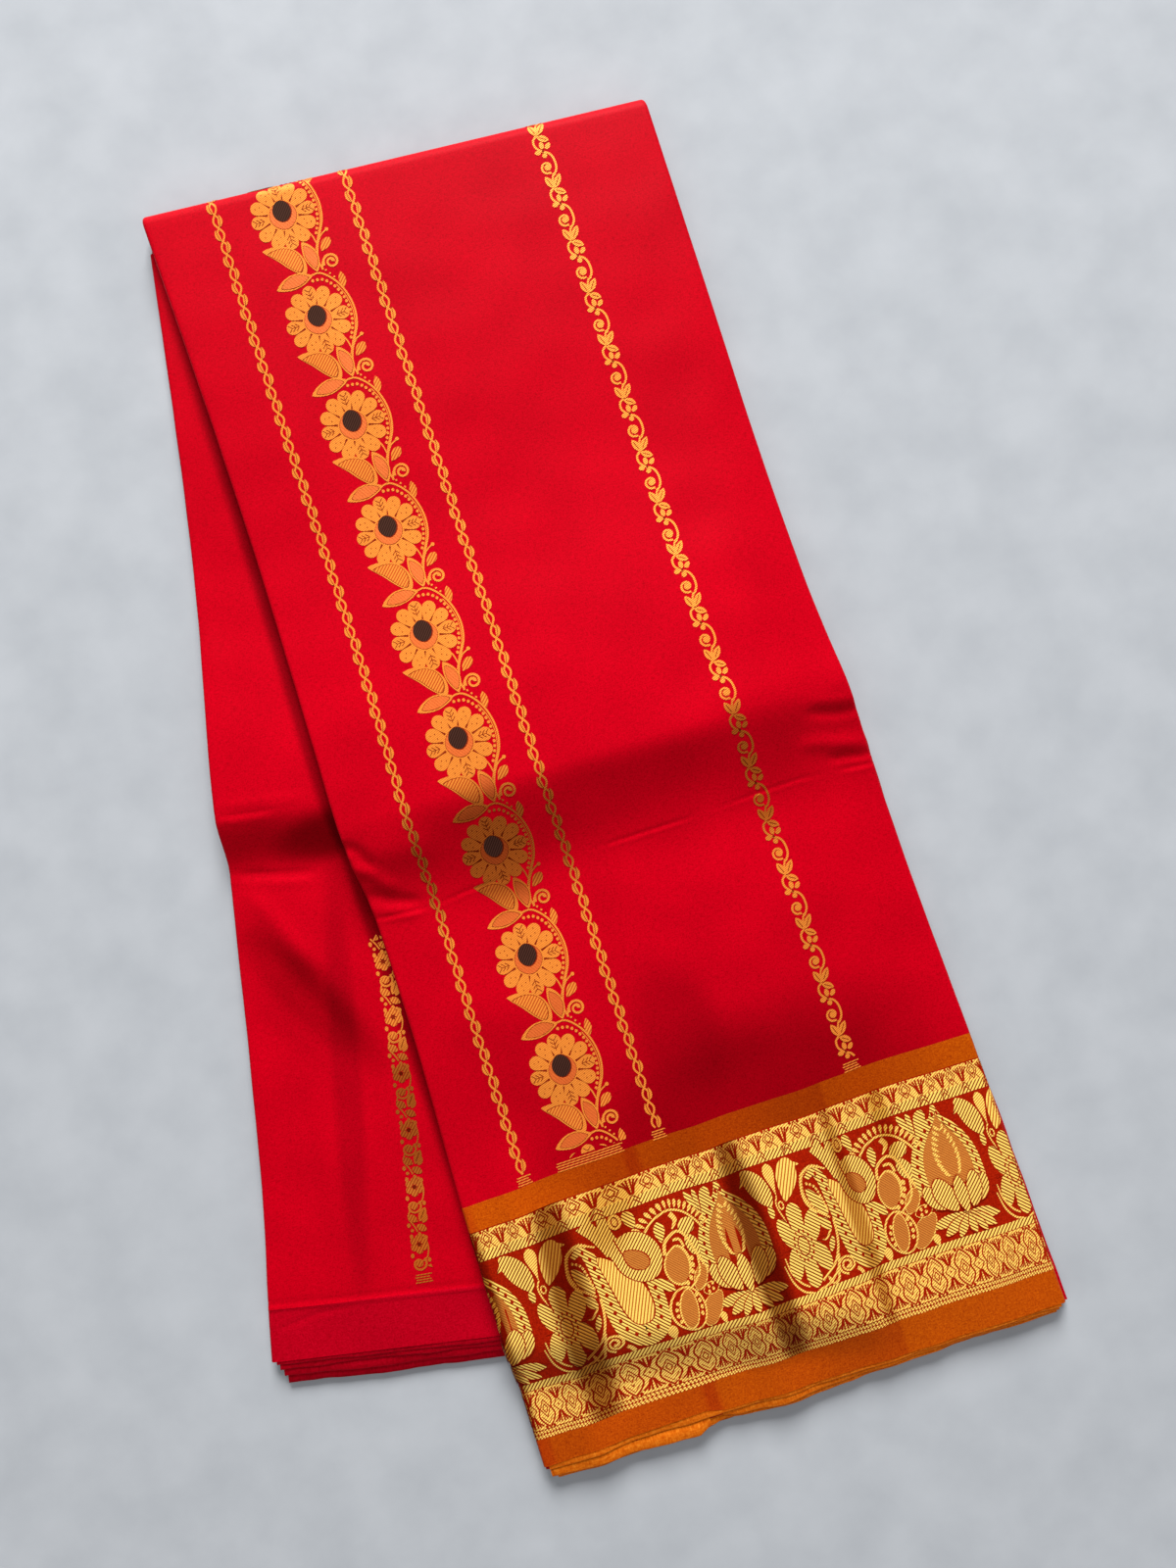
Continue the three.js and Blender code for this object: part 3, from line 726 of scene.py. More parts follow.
# On the lower half: a darker show-through of a stripe in the ply below, partly also painted shade; painted
# shade on a valley's slope; painted shadow along and beside the top half's left edge.
BACK_PAINTED_SHADE = table(
    "x y long wide heading tone",
    (-149, -92, 125, 9.5, 76.2, (0.76, 0.6, 0.8)),
    (-154, -52, 60, 17, -63, (0.62, 0.45, 0.55)),
    (-115, 40, 330, 7, 90, (0.5, 0.4, 0.5)),
    (-122, 16, 34, 14, 0, (0.55, 0.4, 0.5)),
)
# On the upper strip: painted shade where it lies in the same shade as the silk above it.
STRIP_PAINTED_SHADE = table(
    "x y long wide heading tone",
    (22, -171, 130, 60, 0, (0.66, 0.5, 0.5)),
)
# On the border's gold and ground: painted shade, darker columns where the metal on low ridges turns from
# the light.
BORDER_PAINTED_SHADE = table(
    "x y long wide heading tone",
    (-118, -228, 100, 6, 88, (0.4, 0.25, 0.12)),
    (-82, -228, 110, 13, 88, (0.30, 0.17, 0.08)),
    (7, -228, 110, 10, 91, (0.28, 0.16, 0.08)),
    (54, -228, 100, 5, 90, (0.62, 0.45, 0.3)),
    (79, -186, 34, 6, 90, (0.7, 0.55, 0.35)),
    (-52, -185, 34, 16, 60, (0.75, 0.62, 0.45)),
)
# On the stripes' gold and dark lines: painted shade on the hump's slope that faces from the light, and on
# the lower half's chain beside the top half's edge.
BODY_PAINTED_SHADE = table(
    "x y long wide heading tone",
    (-48, -14, 95, 38, 0, (0.42, 0.28, 0.2)),
    (73, -18, 46, 26, 90, (0.46, 0.32, 0.2)),
    (-127, -120, 46, 22, 80, (0.4, 0.27, 0.2)),
    (-139, -182, 40, 22, 80, (0.6, 0.45, 0.3)),
)


def silk_threads(shade):
    """Threads of both directions as one height, with the fuzz of spun silk."""
    weft = shade.maths("MULTIPLY", shade.noise(2.6, 0.4), 0.36)
    warp = shade.maths("MULTIPLY", shade.noise(0.4, 2.6), 0.3)
    fuzz = shade.maths("MULTIPLY", shade.noise(0.8, 0.8), 0.34)
    return shade.maths("ADD", shade.maths("ADD", weft, warp), fuzz)


def silk(name, tones, sheen_tint, columns=None, patches=()):
    """Plain-woven silk. `columns` are places across the cloth where painted shade and painted sheen change
    its tone.
    """
    shade = Shade(
        name, Roughness=0.55, Sheen_Weight=0.03, Sheen_Roughness=0.4,
        Sheen_Tint=(*sheen_tint, 1), Specular_IOR_Level=0.1, Specular_Tint=(*sheen_tint, 1),
    )
    threads = silk_threads(shade)
    colour = shade.ramp(threads, list(zip((0.36, 0.5, 0.64), tones)))
    cloud = shade.ramp(shade.noise(38.0, 44.0), [(0.3, (0.88, 0.88, 0.88)), (0.7, (1.0, 1.0, 1.0))])
    colour = shade.mix(1.0, colour, cloud, "MULTIPLY")
    # Painted shade and painted sheen: tints that change in columns across the cloth.
    if columns:
        axis = shade.add("ShaderNodeSeparateXYZ", {"Vector": shade.cloth()}).outputs["X"]
        left, right = columns[0][0], columns[-1][0]
        inputs = {"Value": axis, "From Min": left, "From Max": right}
        along = shade.add("ShaderNodeMapRange", inputs).outputs["Result"]
        stops = [((x - left) / (right - left), tint) for x, tint in columns]
        colour = shade.mix(1.0, colour, shade.ramp(along, stops), "MULTIPLY")
    # Painted shade in soft spots over the colour.
    return shade.finish(shade.painted_shade_over(colour, patches), threads, 0.05)


def zari(name, bright, dark, pitch, turn, metal, rough=0.45, cover=0.3, patches=(), specular=0.35):
    """Metallic thread held down by dark twill lines. A smaller `cover` shows more metal."""
    shade = Shade(name, Metallic=metal, Roughness=rough, Specular_IOR_Level=specular,
                  Specular_Tint=(1.0, 0.6, 0.15, 1))
    twill = shade.lines(pitch, turn, 0.3)
    threads = shade.noise(3.0, 0.35)
    shine = shade.mix(shade.ramp(threads, [(0.35, (0, 0, 0)), (0.65, (1, 1, 1))]),
                      [0.86 * c for c in bright], bright)
    shows = shade.ramp(twill, [(cover - 0.16, (0, 0, 0)), (cover + 0.14, (1, 1, 1))])
    # Painted shade in soft spots over the metal and its twill.
    colour = shade.painted_shade_over(shade.mix(shows, dark, shine), patches)
    height = shade.maths("ADD", shade.maths("MULTIPLY", twill, 0.8), shade.maths("MULTIPLY", threads, 0.2))
    return shade.finish(colour, height, 0.08)


GOLD = (1.0, 0.66, 0.13)
GOLD_DARK = (0.17, 0.015, 0.002)
BODY_GOLD = (0.72, 0.22, 0.03)
BODY_DARK = (0.42, 0.055, 0.008)
STEEP_DARK = (0.42, 0.10, 0.01)
PLAIN_DARK = (0.5, 0.13, 0.015)
COPPER = (0.62, 0.23, 0.035)
COPPER_DARK = (0.3, 0.04, 0.006)
BODY_PLAIN_DARK = (0.56, 0.13, 0.015)
HALF_GOLD = (0.64, 0.13, 0.025)
HALF_DARK = (0.46, 0.05, 0.01)
CENTRE = (0.05, 0.018, 0.014)
CENTRE_DARK = (0.02, 0.006, 0.005)

# Painted shade and painted sheen across the strips: darker and lighter columns where low ridges turn from
# the light and towards it.
STRIP_PAINTED_SHADING = [
    (-122.0, (0.95, 0.55, 1.0)),
    (-113.5, (0.98, 0.72, 1.2)),
    (-111.5, (1.0, 0.95, 1.0)),
    (-40.5, (1.0, 0.92, 1.0)),
    (-37.5, (0.86, 0.55, 1.0)),
    (-34.0, (0.86, 0.58, 1.0)),
    (-31.0, (1.02, 1.08, 1.0)),
    (10.0, (0.98, 0.95, 1.0)),
    (55.5, (0.86, 0.74, 1.0)),
    (57.5, (1.04, 1.12, 1.0)),
    (136.0, (1.0, 1.02, 1.0)),
]
RED_SHEEN = (1.0, 0.03, 0.08)
WAIST_SHEEN = (1.0, 0.05, 0.1)
ORANGE_SHEEN = (1.0, 0.35, 0.08)
BAND_RED = ((0.16, 0.003, 0.001), (0.29, 0.008, 0.001), (0.40, 0.015, 0.002))
OUTLINE_RED = ((0.12, 0.008, 0.003), (0.19, 0.012, 0.003), (0.27, 0.02, 0.005))

front_red = silk("front_silk", RED, RED_SHEEN, patches=FRONT_PAINTED_SHADE)
back_red = silk("back_silk", RED, RED_SHEEN, patches=BACK_PAINTED_SHADE)
waist_red = silk("waist_silk", WAIST_RED, WAIST_SHEEN)
upper_orange = silk("upper_strip_silk", ORANGE, ORANGE_SHEEN, STRIP_PAINTED_SHADING, STRIP_PAINTED_SHADE)
# The lower strip in the darker orange: painted shade.
shaded_lower_orange = silk("lower_strip_silk", LOWER_ORANGE_SHADED, ORANGE_SHEEN, STRIP_PAINTED_SHADING)
# The hem plies in the lighter orange: painted light.
lit_ply_orange = silk("hem_ply_silk", HEM_ORANGE_PAINTED_LIGHT, ORANGE_SHEEN)
ply_red = silk("ply_silk", WAIST_RED, WAIST_SHEEN)
band_ground = silk("band_ground", BAND_RED, (1.0, 0.2, 0.05), patches=BORDER_PAINTED_SHADE)


ZARI = table(
    "tone name bright dark pitch turn metal rough cover patches",
    ("right", "zari_twill_right", GOLD, GOLD_DARK, 1.35, 45, 0.2, 0.4, 0.4, BORDER_PAINTED_SHADE),
    ("left", "zari_twill_left", GOLD, GOLD_DARK, 1.35, -45, 0.2, 0.4, 0.4, BORDER_PAINTED_SHADE),
    ("steep", "zari_twill_steep", GOLD, STEEP_DARK, 1.45, 25, 0.2, 0.4, 0.38, BORDER_PAINTED_SHADE),
    ("plain", "zari_plain", GOLD, PLAIN_DARK, 1.0, 60, 0.2, 0.36, 0.3, BORDER_PAINTED_SHADE),
    ("copper", "zari_half_tone", COPPER, COPPER_DARK, 0.7, 90, 0.15, 0.45, 0.45, BORDER_PAINTED_SHADE),
    ("body", "brocade_gold", BODY_GOLD, BODY_PLAIN_DARK, 0.8, 70, 0.2, 0.4, 0.3, BODY_PAINTED_SHADE),
    ("body_twill", "brocade_gold_twill", BODY_GOLD, BODY_DARK, 1.25, 45, 0.2, 0.4, 0.42, BODY_PAINTED_SHADE),
    ("body_half", "brocade_half_tone", HALF_GOLD, HALF_DARK, 0.6, 90, 0.1, 0.45, 0.4, BODY_PAINTED_SHADE),
)
TONES = {row.pop("tone"): zari(**row) for row in ZARI}
TONES["ground"] = band_ground
TONES["body_line"] = silk("brocade_outline", OUTLINE_RED, (1.0, 0.3, 0.1), patches=BODY_PAINTED_SHADE)
TONES["centre"] = zari("brocade_centre", CENTRE, CENTRE_DARK, 1.0, 40, 0.0, 0.7, 0.5, specular=0.1)
TONE_NAMES = list(TONES)


# Woven motifs. Every motif is a set of ribbons drawn in a small chart and laid on the cloth.
def curve_through(points, step, closed=False):
    """Points on a smooth curve through the given ones, and the share of the way of each."""
    points = np.asarray(points, float)
    if len(points) == 2:
        count = max(2, int(np.ceil(np.linalg.norm(points[1] - points[0]) / step)))
        t = np.linspace(0, 1, count + 1)
        return lerp(points[0], points[1], t[:, None]), t
    if closed:
        padded = np.concatenate([points[-1:], points, points[:2]])
    else:
        padded = np.concatenate([2 * points[:1] - points[1:2], points, 2 * points[-1:] - points[-2:-1]])
    spans = len(padded) - 3
    curve, shares = [], []
    for k in range(spans):
        a, b, c, d = padded[k: k + 4]
        count = max(2, int(np.ceil(np.linalg.norm(c - b) / step)))
        t = np.linspace(0, 1, count, endpoint=False)[:, None]
        curve.append(0.5 * (2 * b + (c - a) * t + (2 * a - 5 * b + 4 * c - d) * t ** 2
                            + (3 * b - a - 3 * c + d) * t ** 3))
        shares.append((k + t[:, 0]) / spans)
    curve.append(padded[-2:-1])
    shares.append(np.ones(1))
    return np.concatenate(curve), np.concatenate(shares)


# Half the width of the thinnest ribbon, and the half-width from which one has more columns.
THREAD = 0.03
NARROW_HALF = 1.3


def round_points(centre, wide, tall, turn):
    return np.stack([centre[0] + wide * np.cos(turn), centre[1] + tall * np.sin(turn)], axis=1)


class Brocade:
    """Collects the ribbons of one woven pattern and lays them on a face of the cloth."""

    def __init__(self):
        self.ribbons = []
        self.move = (0.0, 0.0)
        self.flip = 1

    def strip(self, path, ahead, wide, columns, tone, level):
        """A strip along a path, with its half-width at each point."""
        ahead = ahead / np.maximum(np.linalg.norm(ahead, axis=1, keepdims=True), 1e-9)
        normal = np.stack([-ahead[:, 1], ahead[:, 0]], axis=1)
        reach = np.maximum(wide, THREAD)[:, None] * np.linspace(-1, 1, columns)
        chart = path[:, None, :] + normal[:, None, :] * reach[:, :, None]
        self.ribbons.append((chart * (self.flip, 1) + self.move, tone, level))

    def ribbon(self, points, half, tone, level=0, step=1.1, closed=False):
        """A ribbon along a curve. `half` is its half-width, or one for each of a few points."""
        path, share = curve_through(points, step, closed)
        wide = np.interp(share, np.linspace(0, 1, np.size(half)), np.atleast_1d(half))
        ahead = np.roll(path, -1, axis=0) - np.roll(path, 1, axis=0)
        if closed:
            ahead[0] = ahead[-1] = path[1] - path[-2]
        else:
            ahead[0] = path[1] - path[0]
            ahead[-1] = path[-1] - path[-2]
        self.strip(path, ahead, wide, 3 if wide.max() < NARROW_HALF else 5, tone, level)

    def leaf(self, base, tip, half, tone, level=0, belly=0.45, blunt=0.8, bend=0.0):
        """A leaf, petal, drop or oval. `belly` is where it is widest, and a smaller `blunt`
        makes rounder ends. `bend` moves its middle sideways."""
        base, tip = np.array(base, float), np.array(tip, float)
        way = tip - base
        length = np.linalg.norm(way)
        side = np.array([-way[1], way[0]]) / length
        count = int(np.clip(length / 0.9, 7, 26))
        share = (1 - np.cos(np.linspace(0, math.pi, count + 1))) / 2
        path = base + way * share[:, None] + side * (bend * np.sin(math.pi * share))[:, None]
        power = math.log(0.5) / math.log(belly)
        wide = half * np.sin(math.pi * share ** power) ** blunt
        self.strip(path, np.gradient(path, axis=0), wide, 3 if half < NARROW_HALF else 7, tone, level)

    def oval(self, centre, half_wide, half_tall, tone, level=0, tilt=0.0):
        angle = math.radians(tilt)
        way = np.array([math.sin(angle), -math.cos(angle)]) * half_tall
        centre = np.array(centre, float)
        self.leaf(centre + way, centre - way, half_wide, tone, level, 0.5, 0.5)

    def ring(self, centre, half_wide, half_tall, half, tone, level=0):
        turn = np.linspace(0, 2 * math.pi, 13)[:-1]
        self.ribbon(round_points(centre, half_wide, half_tall, turn), half, tone, level, 1.0, True)

    def spiral(self, centre, radius, turns, half, tone, start=0.0, level=0):
        turn = np.linspace(0, turns * 2 * math.pi, int(turns * 9) + 1)
        size = radius * (1 - 0.8 * turn / turn[-1])
        points = round_points(centre, size, size, turn + math.radians(start))
        self.ribbon(points, [half, half, half * 0.9, half * 1.6], tone, level, 0.9)

    def trim(self, low, high):
        """Keeps only what lies between two places down the chart."""
        kept = []
        for chart, tone, level in self.ribbons:
            middle = chart[:, :, 1].mean(axis=1)
            rows = np.flatnonzero((middle > low) & (middle < high))
            if len(rows) == len(middle) or len(rows) > 2:
                kept.append((chart[rows[0]: rows[-1] + 1], tone, level))
        self.ribbons = kept

    def lay(self, name, at, place, limits=None):
        """One mesh of all the ribbons. `place` turns chart places into cloth ones."""
        charts, faces, tones, lifts = [], [], [], []
        first = 0
        for k, (chart, tone, level) in enumerate(self.ribbons):
            rows, columns = chart.shape[:2]
            faces.append(grid_faces(rows, columns) + first)
            tones.append(np.full((rows - 1) * (columns - 1), TONE_NAMES.index(tone)))
            lift = LIFT["base"] + LIFT["level"] * level + LIFT["turn"] * (k % LIFT["turns"])
            lifts.append(np.full(rows * columns, lift))
            charts.append(chart.reshape(-1, 2))
            first += rows * columns
        charts = np.concatenate(charts)
        faces = np.concatenate(faces)
        tones = np.concatenate(tones)
        u, s = place(charts[:, 0], charts[:, 1])
        if limits:
            low, high = limits(u, s)
            keep = ~((u < low) | (u > high))[faces].all(axis=1)
            faces, tones = faces[keep], tones[keep]
            u = np.clip(u, low, high)
        points = lifted(at, u, s, np.concatenate(lifts))
        corners = points[faces]
        under = np.cross(corners[:, 1] - corners[:, 0], corners[:, 3] - corners[:, 0])[:, 2] < 0
        under &= ~(s > fold_start(u) + 1)[faces[:, 0]]
        faces[under] = faces[under][:, ::-1]
        used = sorted(set(tones.tolist()))
        materials = [TONES[TONE_NAMES[k]] for k in used]
        uvs = np.stack([u, s], axis=-1)
        return new_object(name, points, faces, uvs, materials, np.searchsorted(used, tones))


# How far a ribbon stands proud of the cloth: at least, for each level, and by turns.
LIFT = {"base": 0.1, "level": 0.05, "turn": 0.002, "turns": 9}


def cloth_limits(u, s):
    """The lowest and highest u that still lie on the top half."""
    y = np.minimum(s, fold_start(u))
    reach = SIDE_ARC + 0.4
    return front_left(y) + SIDE_ROUND - reach, front_right(y) - SIDE_ROUND + reach


# The border band. Charts are in millimetres: across from a repeat's flower, and down from the
# band's upper edge.
BAND_HEIGHT = 102.3
BAND_WIDTH = 262.0
ROW_PITCH = 13.5
LATTICE_START = 1.8
EDGE_STITCH = 1.5
REPEAT = 112.0
FIRST_FLOWER = 31.5
LOTUS_X = 77.2

# Where places of the chart lie across the cloth. The woven repeat isn't quite even.
BAND_PLACES = table(
    "chart across",
    (-20.0, -137.0),
    (31.5, -87.7),
    (49.2, -68.2),
    (67.8, -42.6),
    (78.0, -30.0),
    (108.7, -3.3),
    (143.5, 25.7),
    (220.7, 102.9),
    (239.5, 116.2),
    (262.0, 134.0),
)


def place_band(a, v):
    u = np.interp(a, [row["chart"] for row in BAND_PLACES], [row["across"] for row in BAND_PLACES])
    share = share_across(u)
    return u, lerp(line_y("band_top", share), line_y("band_bottom", share), v / BAND_HEIGHT)


def across_band(cloth, v, half, tone, level=0):
    cloth.ribbon([(-8, v), (BAND_WIDTH / 2, v), (BAND_WIDTH + 3, v)], half, tone, level, 2.0)


def lozenge(cloth, x, y, wide, tall, shares, half=0.22):
    """Dark outlines of nested lozenges."""
    for share in shares:
        across, down = wide * share, tall * share
        corners = [(x, y - down), (x + across, y), (x, y + down), (x - across, y)]
        for k in range(4):
            cloth.ribbon([corners[k], corners[(k + 1) % 4]], half, "ground", 2, 1.6)


def fan_lines(cloth, x, base, top):
    """Dark lines between the drop-ended fingers of a fan, and the ground between their ends."""
    for side in (-1, 1):
        for k, reach in enumerate((0.8, 2.3, 3.8)):
            path = [
                (x + side * (0.15 + 0.3 * k), base),
                (x + side * (0.3 + 0.42 * reach), lerp(base, top, 0.5)),
                (x + side * reach, lerp(base, top, 0.92 - 0.06 * k)),
            ]
            cloth.ribbon(path, [0.2, 0.3, 0.42], "ground", 2, 1.2)
    for side in (-1, 1):
        cloth.oval((x + side * 4.9, lerp(base, top, 0.98)), 0.65, 0.8, "ground", 2)


def lattice_rows(cloth):
    across_band(cloth, 5.1, 4.6, "plain")
    across_band(cloth, 11.6, 2.2, "right")
    across_band(cloth, 77.7, 1.8, "right")
    across_band(cloth, 79.6, 0.14, "ground", 1)
    across_band(cloth, 88.9, 9.3, "plain")
    across_band(cloth, 98.3, 0.16, "ground", 1)
    for k in range(-1, int(BAND_WIDTH / ROW_PITCH) + 1):
        x = LATTICE_START + k * ROW_PITCH
        fan_lines(cloth, x, 8.4, 0.8)
        for apex in (8.8, 10.8):
            points = [(x - 2.4, apex + 2.6), (x, apex), (x + 2.4, apex + 2.6)]
            cloth.ribbon(points, 0.22, "ground", 2, 1.6)
        fan_lines(cloth, x, 86.0, 80.2)
        fan_lines(cloth, x, 92.0, 97.7)
        lozenge(cloth, x, 89.0, 2.5, 3.2, (1.0,))
        cloth.oval((x, 89.0), 0.4, 0.5, "ground", 2)
        middle = x + ROW_PITCH / 2
        lozenge(cloth, middle, 4.6, 2.9, 4.0, (1.0, 0.55))
        cloth.ribbon([(middle - 3.4, 9.2), (middle, 5.8), (middle + 3.4, 9.2)], 0.18, "ground", 2, 1.6)
        lozenge(cloth, middle, 89.0, 2.4, 4.2, (1.0, 0.5))
        for side in (-1, 1):
            outline = [
                (0.0, 80.2), (2.4, 82.8), (3.8, 85.8), (2.9, 89.0),
                (3.8, 92.2), (2.4, 95.2), (0.0, 97.8),
            ]
            cloth.ribbon([(middle + side * out, y) for out, y in outline], 0.36, "ground", 2)
            cloth.ribbon([(middle, 82.0), (middle + side * 2.6, 85.4)], 0.16, "ground", 2)
            cloth.ribbon([(middle, 96.0), (middle + side * 2.6, 92.6)], 0.16, "ground", 2)
    for k in range(-6, int(BAND_WIDTH / EDGE_STITCH) + 2):
        x = k * EDGE_STITCH
        cloth.ribbon([(x, 98.6), (x + 0.9, 100.0)], 0.46, "plain", 0, 2.0)
        cloth.ribbon([(x + 0.3, 100.5), (x + 1.2, 102.1)], 0.48, "plain", 0, 2.0)


def run_along(path):
    """The way run at each point of a path."""
    return np.concatenate([[0], np.cumsum(np.linalg.norm(np.diff(path, axis=0), axis=1))])


def along_curve(points, pitch, start=0.0):
    """Places at a pitch along a smooth curve."""
    path, _ = curve_through(points, 0.5)
    run = run_along(path)
    stops = np.arange(start, run[-1], pitch)
    return list(zip(np.interp(stops, run, path[:, 0]), np.interp(stops, run, path[:, 1])))


def dots_along(cloth, points, pitch, wide, tall, tone, level, start=0.0):
    for place in along_curve(points, pitch, start):
        cloth.oval(place, wide, tall, tone, level)


def spikes_along(cloth, points, pitch, length, half, side=1):
    """Drops that stand square to a curve."""
    places = along_curve(points, pitch)
    for k, (x, y) in enumerate(places):
        ax, ay = places[max(k - 1, 0)]
        bx, by = places[min(k + 1, len(places) - 1)]
        run = math.hypot(bx - ax, by - ay)
        nx, ny = side * (by - ay) / run, -side * (bx - ax) / run
        base, tip = ((x + nx * out, y + ny * out) for out in (0.7, length))
        cloth.leaf(base, tip, half, "plain", 1, 0.66, 0.55)


def edged_leaf(cloth, base, tip, half, tone, level, belly=0.5, blunt=0.6, bend=0.0, edge="ground"):
    """A leaf with a thin edge of another tone."""
    cloth.leaf(base, tip, half + 0.45, edge, level, belly, blunt, bend)
    base, tip = np.array(base, float), np.array(tip, float)
    inset = (tip - base) / np.linalg.norm(tip - base) * 0.4
    cloth.leaf(base + inset, tip - inset, half, tone, level + 0.5, belly, blunt, bend)


def six_petal_flower(cloth):
    y = 54.6
    cloth.oval((0, y), 6.6, 10.6, "left", 0)
    for side in (-1, 1):
        cloth.oval((side * 6.7, y - 7.4), 3.7, 7.3, "left", 0, side * 16)
        cloth.oval((side * 6.8, y + 7.0), 3.7, 7.5, "left", 0, -side * 14)
        cloth.oval((0.1, y + side * 13.2), 4.1, 6.6, "left", 0)
        cloth.ribbon([(side * 3.2, y - 8.4), (side * 4.4, y - 14.4)], [0.14, 0.7], "ground", 2)
        cloth.ribbon([(side * 3.2, y + 8.4), (side * 4.4, y + 14.2)], [0.14, 0.7], "ground", 2)
        cloth.ribbon([(side * 5.6, y - 0.2), (side * 10.6, y - 0.5)], [0.14, 0.8], "ground", 2)
    cloth.ring((0, y), 2.7, 4.5, 0.24, "ground", 2)
    for k in range(14):
        angle = 2 * math.pi * (k + 0.5) / 14
        cloth.oval((4.5 * math.cos(angle), y + 6.8 * math.sin(angle)), 0.42, 0.85, "ground", 2)


def leaves_over_flower(cloth):
    cloth.leaf((-9.6, 33.6), (-20.4, 15.0), 5.2, "right", 0, 0.5, 0.55, 1.2)
    cloth.leaf((-17.6, 17.0), (-23.4, 21.4), 1.6, "right", 0, 0.2, 0.8)
    cloth.leaf((-5.4, 31.0), (-5.9, 14.8), 2.9, "plain", 0, 0.76, 0.6)
    cloth.leaf((-1.6, 33.6), (4.6, 14.8), 4.9, "steep", 0, 0.6, 0.5, 0.4)
    cloth.leaf((2.0, 17.4), (9.8, 19.4), 1.9, "steep", 0, 0.25, 0.8)
    stem = [(-5.4, 30.0), (-7.0, 33.4), (-6.2, 38.0), (-4.4, 42.2)]
    cloth.ribbon(stem, 0.36, "plain", 1)
    cloth.ring((-4.6, 34.6), 1.2, 1.7, 0.36, "plain", 1)
    cloth.oval((-10.8, 36.2), 1.7, 3.0, "left")


def flower_stems(cloth):
    cloth.ribbon([(-11.8, 57.6), (-10.8, 64.6), (-7.4, 70.2), (-3.6, 73.0)], [0.3, 0.5, 0.5, 0.4], "plain")
    cloth.ribbon([(-13.4, 61.0), (-11.4, 69.2), (-7.4, 74.2), (-3.0, 75.8)], [0.3, 0.5, 0.5, 0.4], "plain")
    cloth.ribbon([(16.8, 47.6), (16.3, 54.4), (14.6, 61.2), (11.0, 67.2), (3.6, 72.4)], 0.52, "plain")
    cloth.ribbon([(14.2, 63.4), (12.0, 69.4), (6.8, 74.2), (0.4, 75.8)], 0.52, "plain")
    cloth.leaf((14.6, 51.8), (10.8, 44.8), 2.1, "left", 0, 0.5, 0.7)
    cloth.leaf((11.4, 61.6), (14.2, 54.6), 1.3, "left", 0, 0.5, 0.7)
    cloth.ribbon([(8.8, 54.2), (11.0, 55.2), (14.2, 51.8)], 0.45, "plain")
    cloth.spiral((16.6, 69.3), 4.4, 2.1, 0.5, "plain", 100)
    cloth.leaf((7.8, 75.6), (6.4, 71.4), 0.8, "plain", 0, 0.5, 0.6)
    cloth.ribbon([(11.8, 70.4), (10.8, 74.0), (8.2, 75.6)], 0.55, "plain")
    cloth.ribbon([(20.4, 72.4), (21.6, 73.6), (22.4, 75.6)], 0.8, "plain")


def paisley_head(cloth):
    rim = [(15.6, 46.6), (8.2, 39.2), (6.9, 32.4), (9.0, 24.6), (14.4, 21.9), (20.4, 25.2)]
    cloth.ribbon(rim, 0.42, "plain", 1)
    comb = [(10.6, 43.0), (6.3, 37.6), (5.5, 31.6), (7.8, 23.6), (14.4, 20.4), (18.6, 22.0)]
    spikes_along(cloth, comb, 1.5, 2.6, 0.58, -1)
    edged_leaf(cloth, (15.4, 45.4), (9.0, 30.8), 2.5, "left", 1)
    beads = [(10.2, 29.0), (13.2, 31.4), (14.8, 37.4), (15.8, 44.0)]
    dots_along(cloth, beads, 1.7, 0.55, 0.7, "plain", 2)


def paisleys(cloth):
    paisley_head(cloth)
    band = [
        (10.8, 26.8), (14.6, 24.8), (17.4, 29.2), (18.6, 37.8), (19.4, 48.0), (20.4, 57.9),
        (23.2, 66.4), (28.4, 70.2), (33.2, 66.4), (35.0, 59.4), (35.3, 52.0), (34.4, 47.2),
    ]
    cloth.ribbon(band, [1.1, 1.8, 2.3, 2.5, 2.6, 2.9, 3.8, 5.3, 3.8, 2.6, 2.1, 1.4], "left", 0)
    dots_along(cloth, band[1:], 4.4, 0.62, 1.05, "ground", 2, 1.4)
    edged_leaf(cloth, (28.8, 65.2), (20.0, 29.8), 5.1, "steep", 1, 0.34, 0.6, 2.2)
    cloth.ribbon([(18.6, 14.0), (21.3, 19.6), (22.9, 25.0), (23.6, 31.4)], [3.0, 2.3, 1.7, 0.3], "right", 1)
    neck = [(25.3, 14.2), (24.9, 19.8), (26.0, 27.0), (29.4, 35.0)]
    cloth.ribbon(neck, [1.5, 2.1, 2.9, 4.0], "right", 3)
    edged_leaf(cloth, (35.0, 47.6), (30.8, 23.4), 7.9, "right", 2, 0.5, 0.48, 0.4)
    cloth.ribbon([(27.0, 24.4), (28.2, 31.4), (30.6, 38.2), (33.2, 41.6)], 0.22, "ground", 4)
    edged_leaf(cloth, (34.6, 41.6), (29.0, 31.2), 3.3, "copper", 4, 0.42, 0.6, 0.5)
    cloth.ring((29.2, 17.4), 1.8, 3.0, 0.5, "plain", 3)
    cloth.oval((29.2, 17.4), 0.9, 1.8, "plain", 3)
    cloth.leaf((34.8, 22.8), (33.2, 14.4), 2.1, "left", 1, 0.6, 0.55)
    cloth.leaf((36.0, 47.6), (41.8, 55.2), 2.1, "left", 1, 0.5, 0.7)
    cloth.leaf((36.4, 76.0), (36.2, 69.4), 1.9, "plain", 0, 0.6, 0.5)


